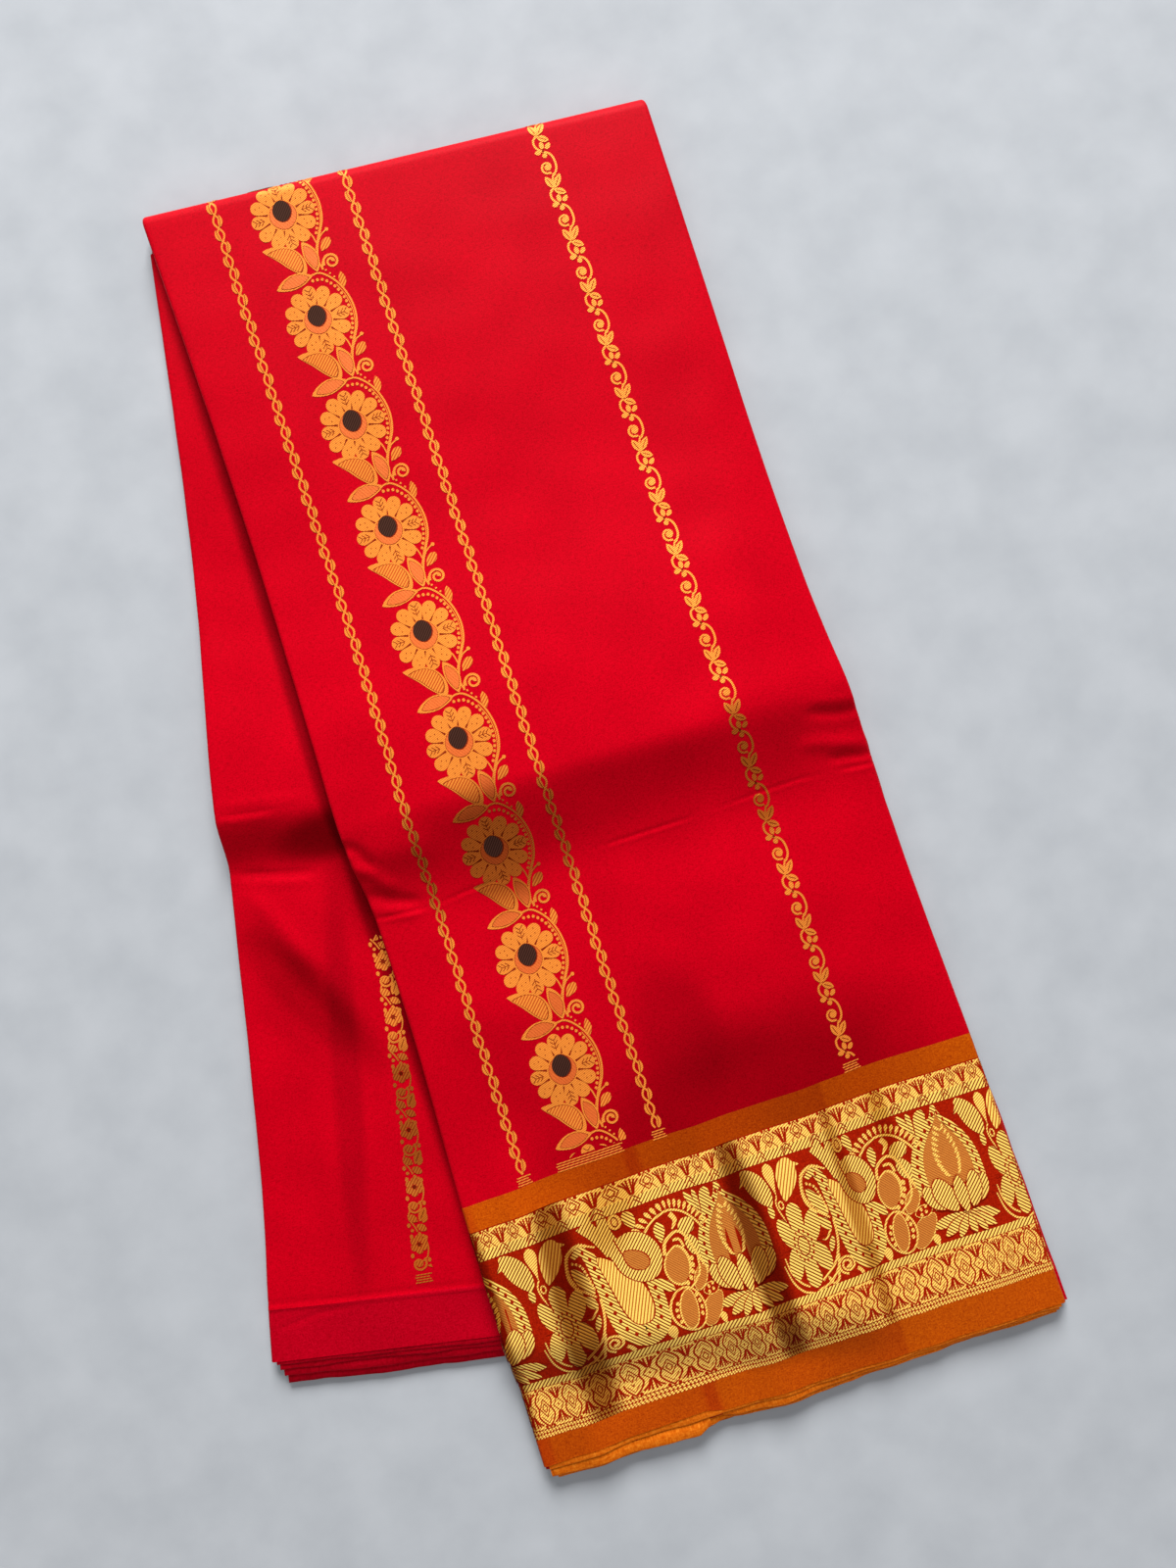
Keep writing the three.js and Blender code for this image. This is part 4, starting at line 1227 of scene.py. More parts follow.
def comb_arc(cloth):
    arc = [(37.4, 26.6), (41.7, 22.6), (48.4, 20.4), (55.2, 22.4), (60.2, 27.0), (63.9, 32.6)]
    cloth.ribbon(arc, 0.5, "plain", 1)
    spikes_along(cloth, arc, 2.15, 5.0, 0.85, 1)
    cloth.leaf((42.4, 33.2), (43.4, 23.8), 2.1, "left", 0, 0.6, 0.6)
    cloth.ribbon([(49.4, 22.2), (51.0, 25.4), (48.2, 29.0)], [1.3, 1.2, 0.3], "plain")
    cloth.leaf((51.4, 30.6), (60.0, 28.2), 3.7, "right", 0, 0.5, 0.45)
    cloth.leaf((59.0, 46.4), (54.0, 33.2), 3.3, "right", 0, 0.6, 0.55)
    stem = [
        (42.0, 39.0), (43.9, 33.2), (49.4, 30.4), (53.4, 33.4),
        (56.6, 43.0), (60.4, 54.0), (64.2, 60.6),
    ]
    cloth.ribbon(stem, 0.62, "plain", 1)
    cloth.ribbon([(46.6, 33.8), (50.0, 34.2), (51.2, 38.2)], 0.62, "plain")
    for tip, half in (((59.9, 15.0), 1.6), ((64.6, 14.8), 1.2), ((71.6, 15.2), 2.7), ((74.0, 20.6), 1.7)):
        cloth.leaf((65.4, 27.0), tip, half, "left", 0, 0.72, 0.6)


def pods(cloth):
    cloth.oval((46.4, 45.2), 6.1, 9.1, "plain", 0, 8)
    cloth.ribbon([(54.6, 42.6), (53.0, 49.6), (47.6, 54.6)], 2.0, "ground", 1)
    cloth.ribbon([(56.6, 43.4), (54.8, 51.0), (48.6, 56.4)], 0.5, "plain", 2)
    dots_along(cloth, [(53.2, 44.0), (52.2, 48.4), (49.6, 52.2), (46.8, 54.2)], 3.0, 1.0, 1.25, "plain", 2)
    cloth.oval((46.0, 45.0), 5.0, 8.0, "copper", 2, 8)
    cloth.oval((45.0, 65.0), 7.7, 10.3, "plain", 2, -4)
    cloth.oval((45.0, 65.0), 6.8, 9.4, "ground", 3, -4)
    cloth.oval((44.8, 65.0), 3.9, 9.2, "plain", 4, 8)
    cloth.oval((44.8, 65.0), 3.3, 8.5, "copper", 5, 8)
    dots_along(cloth, [(49.4, 59.4), (50.4, 65.0), (48.8, 71.0)], 2.9, 0.85, 1.1, "plain", 5, 0.6)
    dots_along(cloth, [(41.2, 60.6), (39.8, 65.0), (40.4, 69.4)], 2.8, 0.7, 0.95, "plain", 5, 0.6)
    edged_leaf(cloth, (51.0, 58.6), (58.2, 48.0), 3.0, "copper", 1, 0.5, 0.55, 0.0, "plain")
    edged_leaf(cloth, (53.6, 60.0), (62.6, 58.6), 2.5, "ground", 2, 0.5, 0.6, 0.0, "plain")
    for x, y in ((57.0, 58.2), (59.0, 59.8), (59.4, 57.4), (56.6, 60.6)):
        cloth.oval((x, y), 0.7, 0.85, "plain", 4)
    edged_leaf(cloth, (50.6, 75.0), (62.6, 61.6), 4.3, "copper", 1, 0.45, 0.55, -1.0, "plain")
    cloth.leaf((59.8, 76.0), (59.6, 70.8), 1.7, "plain", 2, 0.6, 0.5)


LOTUS_LEAVES = table(
    "x y half",
    (-18.0, 68.4, 2.5),
    (20.2, 69.6, 2.5),
    (-13.4, 73.6, 2.3),
    (15.8, 74.4, 2.3),
    (-7.0, 75.8, 1.9),
    (9.2, 75.8, 1.9),
    (1.2, 76.0, 2.2),
)
LOTUS_PETALS = table(
    "base tip half bend",
    ((-6.0, 61.6), (-16.0, 49.0), 3.9, -1.4),
    ((7.4, 61.6), (17.6, 49.6), 3.9, 1.4),
    ((-3.6, 63.8), (-9.6, 46.8), 4.6, -1.0),
    ((4.6, 63.8), (10.8, 47.2), 4.6, 1.0),
    ((0.6, 66.0), (0.3, 47.6), 3.4, 0.0),
)


def lotus(cloth):
    cloth.move = (cloth.origin + LOTUS_X, 0)
    inner = [(0, y) for y in (19, 25, 31, 38, 45, 52)]
    cloth.ribbon(inner, [0.3, 3.6, 9.4, 13.0, 14.4, 14.6], "copper", 0)
    for side in (-1, 1):
        cloth.flip = side
        arch = [(0.3, 14.6), (2.2, 20.4), (7.8, 26.0), (12.9, 33.0), (15.6, 41.0), (15.9, 51.0)]
        cloth.ribbon(arch, [0.6, 1.3, 2.1, 2.6, 2.9, 3.0], "left", 1)
        dots_along(cloth, arch, 4.3, 0.75, 1.1, "ground", 2, 4.0)
        plume = [(1.2, 24.4), (3.6, 29.2), (5.2, 35.0), (5.0, 41.0), (2.6, 47.0)]
        for x, y in along_curve(plume, 2.5):
            cloth.leaf((x - 1.4, y + 2.2), (x + 1.2, y - 0.6), 0.78, "plain", 2, 0.62, 0.6, 0.4)
    cloth.flip = 1
    for k, row in enumerate(LOTUS_LEAVES):
        edged_leaf(cloth, (0.6, 65.0), (row["x"], row["y"]), row["half"], "left", 1 + k, 0.6, 0.7)
    for k, row in enumerate(LOTUS_PETALS):
        edged_leaf(cloth, row["base"], row["tip"], row["half"], "right", 8 + k, 0.55, 0.55, row["bend"])
    cloth.move = (cloth.origin, 0)


def border_band():
    cloth = Brocade()
    lattice_rows(cloth)
    for repeat in (-1, 0, 1, 2):
        cloth.origin = FIRST_FLOWER + repeat * REPEAT
        cloth.move = (cloth.origin, 0)
        six_petal_flower(cloth)
        leaves_over_flower(cloth)
        flower_stems(cloth)
        paisleys(cloth)
        comb_arc(cloth)
        pods(cloth)
        lotus(cloth)
    return cloth.lay("zari_motifs", front_at, place_band, cloth_limits)


# The brocade stripes down the silk. A stripe's chart is in millimetres, down the cloth.
class Stripe:
    """Places of one stripe: where its middle runs, and how far down the cloth a chart is."""

    def __init__(self, middle, turned=130):
        self.middle = middle
        x = middle[0]["x"]
        top = float(fold_start(x)) + NOSE_ARC * math.radians(turned)
        self.s = np.arange(top, FRONT_LINES["seam"][0] + 0.6, -0.5)
        self.run = run_along(front_at(self.centre(self.s), self.s))

    def centre(self, s):
        return column(self.middle, "y", "x", s)

    def down_to(self, y):
        return float(np.interp(-y, -self.s, self.run))

    def place(self, a, v):
        s = np.interp(v, self.run, self.s)
        return self.centre(s) + a, s


FLOWER_MIDDLE = table(
    "y x",
    (345, -50.6),
    (140, -50.1),
    (36, -49.3),
    (-64, -51.4),
    (-165, -53.6),
)
ROPE_LEFT_MIDDLE = table(
    "y x",
    (345, -80.6),
    (204, -81.5),
    (65, -81.0),
    (-23, -83.6),
    (-165, -85.0),
)
ROPE_RIGHT_MIDDLE = table(
    "y x",
    (345, -17.1),
    (204, -18.0),
    (65, -18.6),
    (-23, -19.4),
    (-165, -20.4),
)
CHAIN_MIDDLE = table(
    "y x",
    (345, 75.1),
    (204, 74.4),
    (65, 72.2),
    (-23, 73.1),
    (-165, 73.4),
)

FLOWER_PERIOD = 52.5
FIRST_FLOWER_Y = 297.3
STRIPE_START = 0.5
STRIPE_END_GAP = 5.0


def big_flower(cloth, y):
    middle = np.array([0, y])
    cloth.oval(middle, 12.4, 13.2, "body_line", 0)
    for k in range(12):
        angle = math.radians(30 * k)
        out = np.array([math.sin(angle), -math.cos(angle)])
        side = np.array([-out[1], out[0]])
        base, tip = middle + out * (3.0, 3.2), middle + out * (15.3, 16.9)
        cloth.leaf(base, tip, 3.2, "body", 1, 0.75, 0.5)
        if k % 3 == 0:
            for share in (0.52, 0.66, 0.8):
                centre = lerp(base, tip, share)
                points = [centre + side * 1.7 + out * 1.5, centre, centre - side * 1.7 + out * 1.5]
                cloth.ribbon(points, 0.17, "body_line", 2)
            vein = [middle + out * (9, 9.4), middle + out * (13, 14)]
            cloth.ribbon(vein, 0.14, "body_line", 2)
        else:
            for share, aside in ((0.55, -0.8), (0.68, 0.8), (0.82, -0.5)):
                cloth.oval(lerp(base, tip, share) + side * aside, 0.24, 0.3, "body_line", 2)
    cloth.oval(middle, 7.2, 7.6, "body", 1)
    cloth.oval(middle, 6.5, 6.9, "body_line", 2)
    cloth.oval(middle, 6.3, 6.7, "body_half", 3)
    cloth.oval(middle + (0.2, -2.0), 4.6, 5.4, "body_line", 4)
    cloth.oval(middle + (0, -2.1), 4.3, 5.1, "centre", 5)


def outlined_leaf(cloth, base, tip, half, inner, belly=0.45, bend=0.0):
    base, tip = np.array(base, float), np.array(tip, float)
    cloth.leaf(base, tip, half, "body", 1, belly, 0.75, bend)
    layers = ((0.09, 0.88, 0.62, "body_line", 2), (0.11, 0.86, 0.82, inner, 3))
    for first, last, inset, tone, level in layers:
        start, end = lerp(base, tip, first), lerp(base, tip, last)
        cloth.leaf(start, end, half - inset, tone, level, belly, 0.75, bend)


def flower_vine(cloth, y):
    """The vine, leaves and curls that follow one flower down to the next."""
    outlined_leaf(cloth, (1.4, y + 30.0), (-14.6, y + 13.6), 4.5, "body_twill", 0.42, 3.4)
    outlined_leaf(cloth, (7.0, y + 30.6), (4.2, y + 14.8), 3.3, "body_half", 0.5, 0.8)
    outlined_leaf(cloth, (4.0, y + 31.6), (-13.8, y + 33.4), 3.5, "body_half", 0.5, 0.6)
    cloth.leaf((11.6, y + 21.8), (17.2, y + 16.6), 2.2, "body_twill", 1, 0.6, 0.6)
    cloth.ribbon([(10.9, y + 18.2), (13.6, y + 14.6), (16.8, y + 12.8)], [0.45, 0.35, 0.35], "body", 1)
    cloth.oval((17.2, y + 12.6), 0.9, 0.9, "body", 1)
    cloth.ribbon([(8.2, y + 9.8), (9.9, y + 13.6), (10.8, y + 18.0)], [0.2, 0.35, 0.3], "body", 1)
    cloth.spiral((14.6, y + 27.8), 3.9, 1.6, 0.55, "body", 165, 1)
    cloth.ribbon([(10.7, y + 26.6), (9.4, y + 30.4)], 0.4, "body", 1)
    cloth.leaf((16.6, y + 41.4), (17.0, y + 33.6), 1.7, "body_twill", 1, 0.5, 0.8)
    for x, down in ((10.8, 31.0), (12.2, 33.0), (13.6, 35.2)):
        cloth.oval((x, y + down), 0.5, 0.5, "body", 1)
    outer = [(2.6, y + 31.6), (6.8, y + 31.2), (10.4, y + 33.4), (14.4, y + 38.4), (17.0, y + 45.0),
             (17.9, y + 52.5), (16.6, y + 60.0), (13.2, y + 66.6), (10.4, y + 72.4), (8.9, y + 78.4),
             (9.8, y + 83.0)]
    cloth.ribbon(outer, 0.42, "body", 1)
    inner = [(x - 1.0, down + 0.5) for x, down in outer[3:9]]
    cloth.ribbon(inner, 0.2, "body", 1)
    dots = [(3.4, y + 34.0), (8.0, y + 34.8), (12.0, y + 38.8), (14.8, y + 45.0), (15.8, y + 52.5),
            (14.6, y + 59.6), (12.0, y + 65.4)]
    dots_along(cloth, dots, 2.25, 0.7, 0.78, "body", 1)


def cross_lines(cloth, end, half_wide, count=4):
    for k in range(count):
        y = end - 0.5 - 1.15 * k
        left, right = -half_wide + 0.5 * (k % 2), half_wide - 0.6 * (k % 3)
        cloth.ribbon([(left, y), (right, y)], 0.26, "body", 1, 2.0)


def woven_stripe(name, middle, half_wide, draw):
    """One stripe of the front, from the fold to the border. `draw` adds its pattern."""
    stripe = Stripe(middle)
    cloth = Brocade()
    end = stripe.down_to(FRONT_LINES["seam"][0] + 1.0)
    draw(cloth, stripe, end)
    cloth.trim(STRIPE_START, end - STRIPE_END_GAP)
    cross_lines(cloth, end, half_wide)
    return cloth.lay(name, front_at, stripe.place)


def draw_flowers(cloth, stripe, end):
    first = stripe.down_to(FIRST_FLOWER_Y)
    for k in range(-1, 10):
        y = first + k * FLOWER_PERIOD
        big_flower(cloth, y)
        flower_vine(cloth, y)


ROPE_PITCH = 13.2


def draw_rope(phase):
    """Two crossing strands with a leaf in each bight."""
    def draw(cloth, stripe, end):
        last = end - STRIPE_END_GAP
        y = np.arange(STRIPE_START, last, 1.1)
        turn = 2 * math.pi * y / ROPE_PITCH + phase
        cloth.ribbon(np.stack([1.55 * np.sin(turn), y], axis=1), 0.46, "body", 0)
        cloth.ribbon(np.stack([-1.45 * np.sin(turn), y], axis=1), 0.4, "body", 1)
        count = int(last / ROPE_PITCH * 2) + 1
        for k in range(-1, count):
            centre = (k + 0.5) * ROPE_PITCH / 2 - phase / (2 * math.pi) * ROPE_PITCH
            side = 1 if k % 2 else -1
            base, tip = (side * 0.7, centre + 2.9), (side * 1.7, centre - 3.1)
            cloth.leaf(base, tip, 1.15, "body", 2, 0.45, 0.8, side * 0.5)
            cloth.ribbon([base, (side * 1.5, centre), tip], 0.13, "body_line", 3)
    return draw


CHAIN_PERIOD = 26.2
FIRST_CURL = 8.0
FIRST_BACK_FLOWER = 2.0
BACK_CHAIN_START = 16.0
BACK_CHAIN_END = 3.0
BACK_CHAIN_GAP = 6.0


def chain_leaf(cloth, base, tip, half):
    """A small leaf with a dark line down its middle."""
    base, tip = np.array(base, float), np.array(tip, float)
    cloth.leaf(base, tip, half, "body", 2, 0.5, 0.7)
    cloth.ribbon([lerp(base, tip, 0.2), lerp(base, tip, 0.8)], 0.16, "body_line", 3)


def chain_link(cloth, y):
    """A small flower, a curl, a pair of leaves and a single leaf on a winding stem."""
    cloth.move = (0, y)
    cloth.oval((-0.3, -10.6), 1.15, 1.8, "body", 1)
    cloth.oval((2.5, -9.7), 1.1, 1.7, "body", 1, 42)
    cloth.oval((-2.9, -7.9), 1.5, 1.2, "body", 1)
    cloth.oval((-0.3, -5.6), 1.2, 1.2, "body", 1)
    cloth.oval((-0.4, -7.9), 0.6, 0.6, "body_line", 2)
    stem = [(-0.5, -7.6), (1.8, -6.2), (3.2, -3.4), (3.3, 0.8), (2.0, 3.4), (0.3, 4.8)]
    cloth.ribbon(stem, 0.5, "body", 1)
    cloth.spiral((-0.9, 0.0), 3.2, 1.3, 0.5, "body", 70, 1)
    cloth.oval((-0.9, 0.0), 1.35, 1.35, "body", 2)
    cloth.ribbon([(1.0, 3.6), (-0.4, 6.6), (-0.8, 10.4)], 0.45, "body", 1)
    chain_leaf(cloth, (-1.0, 10.4), (-3.4, 4.2), 1.6)
    chain_leaf(cloth, (-0.5, 10.4), (3.7, 4.6), 1.6)
    chain_leaf(cloth, (-1.2, 11.0), (3.8, 14.2), 1.6)
    cloth.ribbon([(-1.2, 10.4), (-3.3, 12.2), (-3.4, 15.2), (-1.7, 17.6), (-0.4, 18.6)], 0.5, "body", 1)
    cloth.oval((1.8, 17.0), 0.9, 0.9, "body", 1)
    cloth.move = (0, 0)


def dense_link(cloth, y):
    """The same vine worked closer, with a six-petalled flower."""
    cloth.move = (0, y)
    for turn in range(0, 360, 60):
        angle = math.radians(turn)
        x, up = math.sin(angle), -math.cos(angle)
        cloth.leaf((x * 0.9, up * 0.9), (x * 4.3, up * 4.4), 1.6, "body_twill", 1, 0.62, 0.5)
    cloth.oval((0, 0), 0.9, 0.9, "body_line", 2)
    cloth.ribbon([(3.4, -2.0), (4.1, 2.2), (3.0, 6.4), (0.4, 8.0)], 0.34, "body", 1)
    cloth.spiral((-0.9, 8.8), 3.5, 1.4, 0.5, "body", 320, 1)
    cloth.oval((-0.9, 8.8), 1.6, 1.6, "body_twill", 2)
    chain_leaf(cloth, (1.2, 15.8), (4.2, 9.6), 1.8)
    cloth.leaf((0.2, 15.8), (-4.2, 12.6), 1.7, "body_twill", 2, 0.5, 0.75)
    cloth.leaf((2.6, 16.6), (4.6, 12.8), 1.3, "body", 1, 0.5, 0.7)
    for x, y in ((-3.6, 5.0), (3.9, 7.6), (-4.0, 17.4), (3.4, 23.4), (-3.2, 22.6), (0.6, 21.8)):
        cloth.oval((x, y), 0.85, 1.1, "body", 1)
    cloth.ribbon([(-3.0, 10.6), (-3.9, 14.0), (-1.6, 17.6), (-0.2, 20.4)], 0.34, "body", 1)
    cloth.leaf((-0.4, 17.4), (4.2, 20.0), 1.7, "body_twill", 2, 0.5, 0.75)
    cloth.oval((-2.6, 19.8), 0.8, 0.8, "body", 1)
    cloth.oval((2.2, 22.4), 0.7, 0.7, "body", 1)
    cloth.move = (0, 0)


def draw_chain(cloth, stripe, end):
    for k in range(int(end / CHAIN_PERIOD) + 1):
        chain_link(cloth, FIRST_CURL + k * CHAIN_PERIOD)


BACK_STRIPE = [(-113.2, -20.0), (-116.0, -40.6), (-117.4, -57.0), (-119.6, -70.4), (-122.2, -84.0),
               (-126.9, -110.8), (-132.2, -137.4), (-137.4, -159.4), (-142.2, -180.0), (-145.0, -197.0)]


def back_stripe():
    """The part of a chain that shows on the lower half, beside the top half."""
    path, _ = curve_through(BACK_STRIPE, 1.0)
    run = run_along(path)
    ahead = np.gradient(path, axis=0)
    ahead /= np.linalg.norm(ahead, axis=1, keepdims=True)

    def place(a, v):
        x = np.interp(v, run, path[:, 0]) - a * np.interp(v, run, ahead[:, 1])
        y = np.interp(v, run, path[:, 1]) + a * np.interp(v, run, ahead[:, 0])
        return x, y

    cloth = Brocade()
    for k in range(int(run[-1] / CHAIN_PERIOD) + 1):
        dense_link(cloth, FIRST_BACK_FLOWER + k * CHAIN_PERIOD)
    end = run[-1] - BACK_CHAIN_END
    cloth.trim(BACK_CHAIN_START, end - BACK_CHAIN_GAP)
    cross_lines(cloth, end, 4.0)
    return cloth.lay("back_chain_stripe", back_at, place)


# Plies at the side edges. Each side of a stack is a column of rounded fold edges.
def ply_side(depth, y, count, seed, spread=0.0):
    """`along` and `down` of the points of a stack's side, at each row."""
    start = EDGE_WRAP + GAP
    tall = (depth - start) / count
    along = [np.full_like(y, INSET + 3), np.full_like(y, INSET)]
    down = [np.full_like(y, INSET), np.full_like(y, start - 0.1)]
    for k in range(count):
        inset = 0.45 + 0.4 * wander(seed + k, y, 90) - spread
        for share, in_by in ((0.06, 1.1), (0.26, 0.16), (0.5, 0.0), (0.74, 0.16), (0.94, 1.1)):
            along.append(inset + in_by)
            down.append(start + tall * (k + share))
    return np.stack(along, axis=1), np.stack(down, axis=1)


STACK_FOOT = 2.0


def stack_mesh(name, left, right, height, base_left, plies, seed, spread, material):
    """A stack of plies as one closed form. `left` and `right` are the ends of its rows."""
    way = right - left
    width = np.linalg.norm(way, axis=1)
    way = way / width[:, None]
    y = left[:, 1]

    def z_at(along):
        inner = np.clip(along, SIDE_ROUND, width[:, None] - SIDE_ROUND)
        return height(*across_rows(left, way, inner))

    edge_left = z_at(np.zeros((len(y), 1)))[:, 0]
    edge_right = z_at(width[:, None])[:, 0]
    along_l, down_l = ply_side(np.maximum(edge_left - base_left, 5), y, plies[0], seed)
    along_r, down_r = ply_side(np.maximum(edge_right, 5), y, plies[1], seed + 50, spread)
    middle = np.linspace(0, 1, 22)[1:-1]
    flat = lerp(INSET + 3, width[:, None] - INSET - 3, middle[None, :])
    along = np.concatenate([along_l[:, ::-1], flat, width[:, None] - along_r], axis=1)
    down = np.concatenate([down_l[:, ::-1], np.full_like(flat, INSET), down_r], axis=1)
    z = np.maximum(z_at(along) - down, 0.02)
    x, y = across_rows(left, way, along)
    x = np.concatenate([x, x[:, -1:] - STACK_FOOT, x[:, :1] + STACK_FOOT], axis=1)
    y = np.concatenate([y, y[:, -1:], y[:, :1]], axis=1)
    z = np.concatenate([z, np.zeros((len(z), 2))], axis=1)
    points = np.stack([x, y, z], axis=-1)
    faces = grid_faces(*x.shape, closed=True)
    around = np.arange(x.shape[1])[None, :] * 0.8
    uvs = np.stack(np.broadcast_arrays(y, around), axis=-1)
    return new_object(name, points, faces, uvs, [material])


def front_stack():
    y = np.concatenate([
        np.arange(313, 24, -4.0),
        np.arange(24, -36, -2.0),
        np.arange(-36, -291, -4.0),
        [-293.0],
    ])
    left = np.stack([front_left(y), y], axis=1)
    right = np.stack([front_right(y), y], axis=1)
    tilt = np.interp(y, [-293, -30, 20, 313], [-3.6, -2.4, -16, -21.2])
    right[:, 1] += tilt
    base = support(left[:, 0], left[:, 1])
    spread = column(RIGHT_SPREAD, "y", "by", y)
    return stack_mesh("front_plies", left, right, front_face, base, (5, 9), 100, spread, ply_red)


BACK_PLY_SPANS = [
    ("fold", "upper", 24, 0.05),
    ("upper", "crest", 30, 0),
    ("crest", "crease", 14, 0),
    ("crease", "lower", 30, 0),
    ("lower", "waist", 14, 0),
    ("waist", "hem", 6, 0),
]


def back_stack():
    left, right = back_rows(BACK_PLY_SPANS)
    return stack_mesh("back_plies", left, right, back_face, np.zeros(len(left)), (6, 6), 200, 0.0, ply_red)


FOLD_PLIES = 5
FOLD_PLY_PITCH = 1.05
FOLD_PLY_THICK = 0.8


def nose_plies():
    """The plies inside the rounded fold, nested round its middle."""
    points, faces = [], []
    first = 0
    for k in range(FOLD_PLIES):
        inset = INSET + FOLD_PLY_PITCH * k
        edge = 1.6 + 0.5 * math.sin(2.1 * k)
        across = np.linspace(FRONT_LEFT_END + edge, FRONT_RIGHT_END - edge, 40)
        turn = np.linspace(0, math.pi, 15)
        deep = np.maximum(NOSE_DEPTH - inset, 0.3)
        tall = NOSE_HALF_HEIGHT - inset
        for t in turn:
            y = line_y("fold", share_across(across)) - NOSE_DEPTH + deep * math.sin(t)
            z = np.full_like(across, NOSE_HALF_HEIGHT + tall * math.cos(t))
            points.append(np.stack([across, y, z], axis=1))
        faces.append(grid_faces(len(turn), len(across)) + first)
        first += len(turn) * len(across)
    points = np.concatenate(points)
    item = new_object("fold_plies", points, np.concatenate(faces), points[:, :2], [ply_red])
    return stiffen(item, FOLD_PLY_THICK)


# Plies that show below the hems, from the top one down: where along the hem each runs, how far
# down its face lies, its thickness, and how far it reaches past the visible ply.
FRONT_HEM = table(
    "from to down thick reach",
    (0.01, 0.99, 0.4, 0.6, [
        (0.0, -1.0), (0.15, -2.0), (0.31, -1.6), (0.5, -0.3), (0.8, 0.0), (1.0, 0.2),
    ]),
    (0.01, 0.315, 1.2, 0.7, [
        (0.0, 1.8), (0.06, 3.2), (0.16, 3.0), (0.24, 5.2), (0.29, 5.4), (0.315, 2.0),
    ]),
    (0.34, 0.985, 1.2, 0.7, [
        (0.34, 0.0), (0.37, 1.8), (0.45, 2.8), (0.52, 2.4), (0.62, 1.5), (0.77, 1.1), (1.0, 1.5),
    ]),
    (0.02, 0.98, 2.2, 0.9, [
        (0.0, 3.2), (0.08, 4.3), (0.2, 4.0), (0.3, 4.0), (0.34, 2.0), (0.42, 4.0), (0.48, 4.6),
        (0.6, 3.3), (0.8, 2.4), (1.0, 2.9),
    ]),
    (0.03, 0.97, 3.8, 3.6, [
        (0.0, 3.0), (0.2, 3.6), (0.3, 3.2), (0.5, 4.0), (0.75, 3.0), (1.0, 3.6),
    ]),
)
BACK_HEM = table(
    "from to down thick reach",
    (0.01, 0.97, 0.5, 0.7, [
        (0.0, 1.6), (0.4, 2.4), (0.8, 1.8), (1.0, 1.4),
    ]),
    (0.015, 0.97, 1.4, 0.8, [
        (0.0, 4.6), (0.16, 4.0), (0.4, 4.8), (1.0, 4.0),
    ]),
    (0.02, 0.96, 2.5, 1.0, [
        (0.0, 7.6), (0.2, 8.6), (0.45, 7.6), (1.0, 6.0),
    ]),
    (0.025, 0.95, 3.9, 2.8, [
        (0.0, 11.6), (0.2, 12.4), (0.5, 11.0), (1.0, 9.6),
    ]),
)
HEM_ROOT = 10.0
HEM_STATIONS = 150
HEM_WAVE = 0.35
HEM_SAG = 0.15
# A ply's section: how far back from its edge, and how far down its thickness.
HEM_PROFILE = [
    (HEM_ROOT, 0.0), (4.0, 0.0), (0.35, 0.0), (0.0, 0.35),
    (0.0, 0.65), (0.35, 1.0), (4.0, 1.0), (HEM_ROOT, 1.0),
]


def hem_mesh(name, left, right, height, plies, seed, material):
    """Thin wavy plies that reach out from under a hem."""
    left, right = np.array(left, float), np.array(right, float)
    way = right - left
    width = np.linalg.norm(way)
    way /= width
    out = np.array([way[1], -way[0]])
    points, faces, uvs = [], [], []
    first = 0
    for k, ply in enumerate(plies):
        share = lerp(ply["from"], ply["to"], np.linspace(0, 1, HEM_STATIONS))
        reach = np.interp(share, *np.array(ply["reach"]).T)
        run = share * width
        reach = reach + HEM_WAVE * wander(seed + k, run, 46)
        inner = np.clip(run, 3, width - 3)
        x = left[0] + way[0] * run
        y = left[1] + way[1] * run
        top = height(left[0] + way[0] * inner, left[1] + way[1] * inner) - ply["down"]
        sag = np.clip(0.2 * wander(seed + 20 + k, run, 60), -HEM_SAG, HEM_SAG)
        ring = []
        for back, down in HEM_PROFILE:
            far = reach - back
            droop = sag * (1 - back / HEM_ROOT)
            z = np.maximum(top - ply["thick"] * down + droop, 0.02 + 0.01 * (1 - down))
            ring.append(np.stack([x + out[0] * far, y + out[1] * far, z], axis=1))
        ring = np.stack(ring, axis=1)
        points.append(ring.reshape(-1, 3))
        faces.append(grid_faces(*ring.shape[:2], closed=True) + first)
        around = np.arange(len(HEM_PROFILE))[None, :] * 1.5
        place = np.stack(np.broadcast_arrays(run[:, None], around), axis=-1)
        uvs.append(place.reshape(-1, 2) + (left[0], 31.0 * k))
        first += ring.shape[0] * ring.shape[1]
    points, faces, uvs = (np.concatenate(parts) for parts in (points, faces, uvs))
    return new_object(name, points, faces, uvs, [material])


# The pieces.
FRONT_SPANS = [
    ("fold", "rise", 46),
    ("rise", "crest", 46),
    ("crest", "crease", 72),
    ("crease", "seam", 62),
]
front_silk, front_flat = front_cloth("front_silk", FRONT_SPANS, front_red, nose_rows=20)
upper_strip, upper_flat = front_cloth("upper_strip", [("seam", "band_top", 8)], upper_orange)
zari_band, band_flat = front_cloth("zari_band", [("band_top", "band_bottom", 60)], band_ground)
lower_strip, lower_flat = front_cloth("lower_strip", [("band_bottom", "hem", 12)], shaded_lower_orange)

